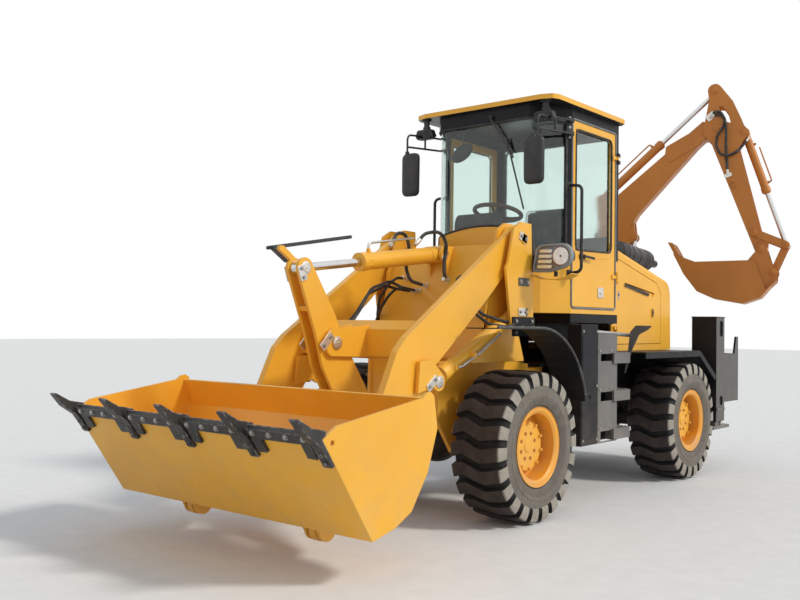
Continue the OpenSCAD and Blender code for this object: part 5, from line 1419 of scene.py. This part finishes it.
# %% Hoses at the elbow, and lines down the boom's back
hose_lines = {
    "elbow_hose_long": [(1.133, -0.118, 3.697), (1.175, -0.135, 3.728), (1.235, -0.150, 3.720),
                        (1.278, -0.160, 3.640), (1.294, -0.155, 3.520), (1.290, -0.145, 3.360),
                        (1.296, -0.130, 3.200), (1.306, -0.120, 3.060)],
    "elbow_hose_loop": [(1.144, -0.116, 3.680), (1.215, -0.130, 3.700), (1.280, -0.140, 3.640),
                        (1.262, -0.150, 3.545), (1.200, -0.155, 3.455), (1.187, -0.155, 3.360),
                        (1.225, -0.150, 3.262), (1.310, -0.140, 3.232), (1.400, -0.125, 3.275),
                        (1.462, -0.080, 3.355), (1.500, -0.045, 3.420)]}
ends = []
for name, path in hose_lines.items():
    tube(name, [arm_points(path)], 0.0135, hose_rubber, "stick", bend=0.07, sides=14)
    ends += [turned([(-0.026, 0.017), (-0.010, 0.017), (-0.010, 0.0155), (0.030, 0.0155)], a,
                    Vector(b) - Vector(a), 12)
             for a, b in ((path[0], path[1]), (path[-1], path[-2]))]
ends += [plate(slanted((1.128, 3.684), 0.050, 0.034, 40, 0.008), -0.118, -0.1102),
         plate(slanted((1.308, 3.028), 0.020, 0.040, -70, 0.005), -0.122, -0.1102)]
arm_piece("elbow_hose_ends", ends, plate_zinc, "stick")
back_line = [(0.100, 1.300), (0.052, 1.335), (0.012, 1.450), (-0.046, 1.600), (-0.083, 1.900),
             (-0.108, 2.100), (-0.115, 2.150), (-0.119, 2.440), (-0.104, 2.510), (-0.070, 2.530)]
tube("boom_back_hoses", [arm_points([(u, v, z) for u, z in back_line]) for v in (-0.045, 0.0, 0.045)], 0.0125,
     hose_rubber, "boom", bend=0.03)
arm_piece("boom_hose_clamps", [plate(slanted(spot, 0.024, 0.030, 90, 0.003), -0.066, 0.066) for spot in (
    (-0.048, 1.62), (-0.109, 2.10), (-0.119, 2.42))], black_paint, "boom", slot="chassis_paint", bevel=0.002)
print("digging arm dressed")

# %% [markdown]
# ## Rims, bucket and bodywork
# What is left is hardware in rows: wheel bolts in two circles, bolts along the cutting edges, weld
# beads where plates meet, and bright rails. The bolts all come from the same tree.

# %% Wheel bolts, hub caps and valves
flange = [(0.0, 0.150), (0.036, 0.150), (0.038, 0.176), (0.060, 0.176), (0.066, 0.171), (0.066, 0.048),
          (0.071, 0.045), (0.073, 0.036), (0.073, 0.003)]


def at_hub(wheel, radius, degrees, out=0.0975):
    """A place and a way on a wheel's face, at an angle from its top."""
    (x, side), a = wheel, math.radians(degrees)
    return ((x + radius * math.sin(a), side * (track_half + out), tyre_radius + radius * math.cos(a)),
            (0, side, 0))


for place, wheel in wheels.items():
    (x, side), on = wheel, "wheel_" + place
    # The inner hub bolts are the gold darkened by painted shade.
    bolts("hub_bolts_" + place, [at_hub(wheel, 0.092, 45 * k + 20) for k in range(8)], 0.010, 0.008,
          gold_in_painted_shade, on, slot="rim_paint")
    bolts("wheel_nuts_" + place, [at_hub(wheel, 0.160, 36 * k + 4) for k in range(10)], 0.011, 0.018,
          gold_paint, on, slot="rim_paint")
    make("hub_cap_" + place, [turned(flange, (x, side * (track_half + 0.032), tyre_radius), (0, side, 0),
                                     64)],
         gold_paint, on, slot="rim_paint")
    make("valve_" + place, [bar(at_hub(wheel, 0.214, 90, 0.030)[0], at_hub(wheel, 0.205, 90, 0.075)[0],
                                0.005)],
         bolt_steel, on)

# %% Loader bucket: bolts of the cutting edges
lip, heel = Vector((2.345, 0, 0.800)), Vector((1.972, 0, 0.247))
along_floor = (lip - heel).normalized()
out_of_floor = Vector((along_floor.z, 0, -along_floor.x))
half_wide, tooth_wide, teeth = 1.105, 0.060, 5
pitch = (2 * half_wide - tooth_wide) / (teeth - 1)


def on_floor(along, y, off):
    """A place and a way under the bucket's floor, measured from its lip."""
    return lip + along_floor * along + out * y + out_of_floor * off, out_of_floor


tooth_places = [-half_wide + tooth_wide / 2 + i * pitch for i in range(teeth)]
edge_start, edge_long = tooth_wide / 2 + 0.020, pitch - tooth_wide - 0.040
bolts("cutting_edge_bolts", [on_floor(0.008, y + edge_start + edge_long * share, 0.0215)
                             for y in tooth_places[:-1]
                             for share in (0.07, 0.36, 0.64, 0.93)], 0.013, 0.010, body="loader_bucket")
bolts("tooth_bolts", [on_floor(along, y, 0.0265) for y in tooth_places for along in (-0.130, -0.075)], 0.011,
      0.009, tooth_black, "loader_bucket")

# %% Loader bucket: weld beads, and ribs on its back
wall_line = [(2.345, 0.800), (1.972, 0.247), (1.790, 0.290), (1.656, 0.357), (1.520, 0.550), (1.438, 0.784),
             (1.500, 0.960)]
inside = beside(wall_line, 0.018)
inside[0] = (inside[0][0] - 0.030, inside[0][1] - 0.045)
tube("bucket_welds", [[in_plan(p, side * 1.084) for p in inside] for side, _ in sides] +
     [[(1.640, y, 0.370), (1.521, y, 0.547)] for y in (0.034, -0.034, 0.490, -0.490, 0.610, -0.610)], 0.0045,
     gold_paint, "loader_bucket", bend=0.01, sides=8)
make("bucket_back_ribs", [
    plate([(1.650, 0.352), (1.515, 0.546), (1.434, 0.780), (1.422, 0.775), (1.500, 0.535), (1.640, 0.342)],
          y - 0.010, y + 0.010) for y in (-0.86, -0.30, 0.30, 0.86)], gold_paint, "loader_bucket",
     bevel=0.002)

# %% Fenders: bead along the edge, and bolts
edge_arc = [(0.650 * math.cos(a), 0.899, 0.702 + 0.650 * math.sin(a))
            for a in map(math.radians, range(88, 171, 6))]
pair(tube, "fender_bead", [[(0.530, 0.899, 1.352), (0.030, 0.899, 1.352)] + edge_arc], 0.0105, fender_edge,
     body="front_frame", bend=0.03, sides=10)
pair(bolts, "fender_bolts", [((x, 0.885, 1.3585), (0, 0, 1)) for x in (0.49, 0.36, 0.22, 0.08)], 0.008, 0.006,
     body="front_frame")
pair(bolts, "fender_flange_bolts", [((x, 0.6425, z), out) for x in (-0.290, -0.080) for z in (1.318, 1.400)],
     0.010, 0.008, body="front_frame")

# %% A sheet with rectangular holes
def sheet(across, upward, holes, low, high, plane="xz"):
    """A grid of cells between two sorted lists of lines; the cells named as holes are left open."""
    number, verts, faces = {}, [], []

    def at(i, j, depth):
        if (i, j, depth) not in number:
            number[i, j, depth] = len(verts)
            verts.append(planes[plane](across[i], upward[j], (low, high)[depth]))
        return number[i, j, depth]

    cells = {(i, j) for i in range(len(across) - 1) for j in range(len(upward) - 1)} - set(holes)
    for i, j in sorted(cells):
        ring = [(i, j), (i + 1, j), (i + 1, j + 1), (i, j + 1)]
        faces += [tuple(at(*c, 0) for c in ring), tuple(at(*c, 1) for c in reversed(ring))]
        for k, beyond in enumerate(((i, j - 1), (i + 1, j), (i, j + 1), (i - 1, j))):
            if beyond not in cells:
                p, q = ring[k], ring[(k + 1) % 4]
                faces.append((at(*q, 0), at(*p, 0), at(*p, 1), at(*q, 1)))
    return verts, faces


# %% Steps: box, slotted ladder plate, treads, rail and the bent end plate
tread_tops, wall = (0.541, 0.852, 1.158), 0.7505
pair(make, "battery_box", [block((-1.110, 0.630, 0.440), (-0.840, 0.750, 1.385)),
                           block((-0.990, 0.560, 1.374), (-0.890, 0.640, 1.3895)),
                           block((-1.640, 0.640, 0.440), (-1.112, 0.646, 1.310))], black_paint, bevel=0.004,
     replaces="steps")
ladder = [sheet([-1.440, -1.383, -1.160, -1.111], [0.440, 0.452, 0.531, 0.772, 0.844, 1.092, 1.150, 1.318],
                [(1, 1), (1, 3), (1, 5)], 0.742, 0.750)]
for top in tread_tops:
    ladder += [block((-1.640, 0.648, top - 0.006), (-1.352, 0.770, top)),
               block((-1.640, 0.762, top - 0.088), (-1.352, 0.7695, top - 0.0062)),
               block((-1.640, 0.652, top - 0.080), (-1.634, 0.7618, top - 0.0062)),
               block((-1.358, 0.7502, top - 0.080), (-1.352, 0.7618, top - 0.0062))]
ladder += [block((x, 0.6462, 0.442), (x + 0.006, 0.7418, 1.316)) for x in (-1.438, -1.117)]
pair(make, "ladder", ladder, grey_steps, bevel=0.0015, replaces="steps")
pair(tube, "step_rail", [[(-0.980, 0.720, 1.370), (-1.010, 0.720, 1.330), (-1.745, 0.720, 1.300)]], 0.0168,
     pipe_steel, bend=0.02, sides=16, slot="step_paint")
pair(make, "rail_collar", [turned([(0, 0.024), (0.006, 0.030), (0.030, 0.030), (0.036, 0.022)],
                                  (-1.058, 0.720, 1.3285), (1, 0, 0.02), 24)], grey_steps)
horn = [(0.738, 1.327), (0.790, 1.384), (0.935, 1.382), (0.901, 1.349), (0.821, 1.308), (0.752, 1.166),
        (0.697, 0.978), (0.688, 0.986), (0.718, 1.149), (0.734, 1.290)]
pair(make, "rail_end_plate", [plate(rounded(horn, 0.010, 3), -1.703, -1.694, "yz"),
                              block((-1.700, 0.646, 1.120), (-1.695, 0.740, 1.150))], grey_steps,
     bevel=0.0015)
pair(bolts, "tread_teeth", [((-1.630 + 0.030 * k, y, z), (0, 0, 1)) for z in tread_tops for k in range(10)
                            for y in (0.668, 0.700, 0.735)], 0.006, 0.006, grey_steps)
pair(bolts, "box_bolts", [((x, wall, z), out) for x in (-1.090, -0.870) for z in (0.480, 0.900, 1.330)] +
     [((x, wall, z + 0.016), out) for x in (-1.140, -1.330) for z in tread_tops], 0.009, 0.007)
pair(make, "box_lid", [*(plate(rounded([(-1.100, z0), (-0.852, z0), (-0.852, z1), (-1.100, z1)], 0.02),
                               0.7502, 0.7545)
                         for z0, z1 in ((0.500, 0.860), (0.920, 1.300))),
                       bar((-0.980, 0.754, 0.820), (-0.980, 0.764, 0.820), 0.014)], black_paint, bevel=0.0015)
pair(make, "hood_latch", [
    block((-1.790, 0.541, 1.602), (-1.708, 0.590, 1.680)),
    bar((-1.765, 0.590, 1.650), (-1.765, 0.606, 1.650), 0.013),
    block((-1.745, 0.5902, 1.615), (-1.715, 0.600, 1.668))], bolt_steel, bevel=0.002, slot="step_paint")

# %% Side boxes: slots in the wall, a rim on top, a bolted bar and the foot's pin
# Their paint carries a painted highlight on the boxes' outer faces.
carved("backhoe_frame", "side_boxes_slotted", both_sides([
    plate(rounded([(-3.424, z0), (-3.341, z0), (-3.341, z1), (-3.424, z1)], 0.032), 0.866, 0.900)
    for z0, z1 in ((1.290, 1.442), (0.624, 0.712))]), box_paint_and_painted_highlight)
pair(make, "side_box_trim", [
    sheet([-3.476, -3.455, -3.275, -3.254], [0.628, 0.652, 0.863, 0.887], [(1, 1)], 1.4755, 1.484, "xy"),
    block((-3.464, 0.8802, 0.572), (-3.266, 0.888, 0.600))], box_paint_and_painted_highlight, bevel=0.002)
pair(bolts, "side_box_bolts", [((x, 0.888, 0.586), out) for x in (-3.440, -3.290)], 0.009, 0.007)
pair(make, "foot_pin", [turned([(0, 0.026), (0.020, 0.026), (0.023, 0.022)], (-3.405, 0.858, 0.440), out,
                               24)],
     bolt_steel, body="stabilizer_SIDE", slot="step_paint")

# %% Hood: side lock, and the muffler's bands
pair(make, "hood_lock", [
    lofted([(-2.579 + 0.017 * c, 1.505 + 0.040 * s) for c, s in round_points(24)],
           [(0.5383, 0.0), (0.5405, 0.003)], "xz"),
    plate(slanted((-2.250, 1.706), 0.250, 0.013, 8.4, 0.010), 0.5383, 0.5395),
    bar((-2.579, 0.540, 1.512), (-2.579, 0.546, 1.512), 0.008)], black_plastic, body="engine_door_SIDE")
droop = math.radians(-5)
make("muffler_seams", [
    turned([(along, 0.0995), (along + 0.002, 0.1035), (along + 0.010, 0.1035), (along + 0.012, 0.0995)],
           (-2.400, 0.250, 2.083), (-math.cos(droop), 0, math.sin(droop)), 48)
    for along in (0.030, 0.190, 0.330, 0.470, 0.592)], exhaust_black)
print("bodywork dressed")
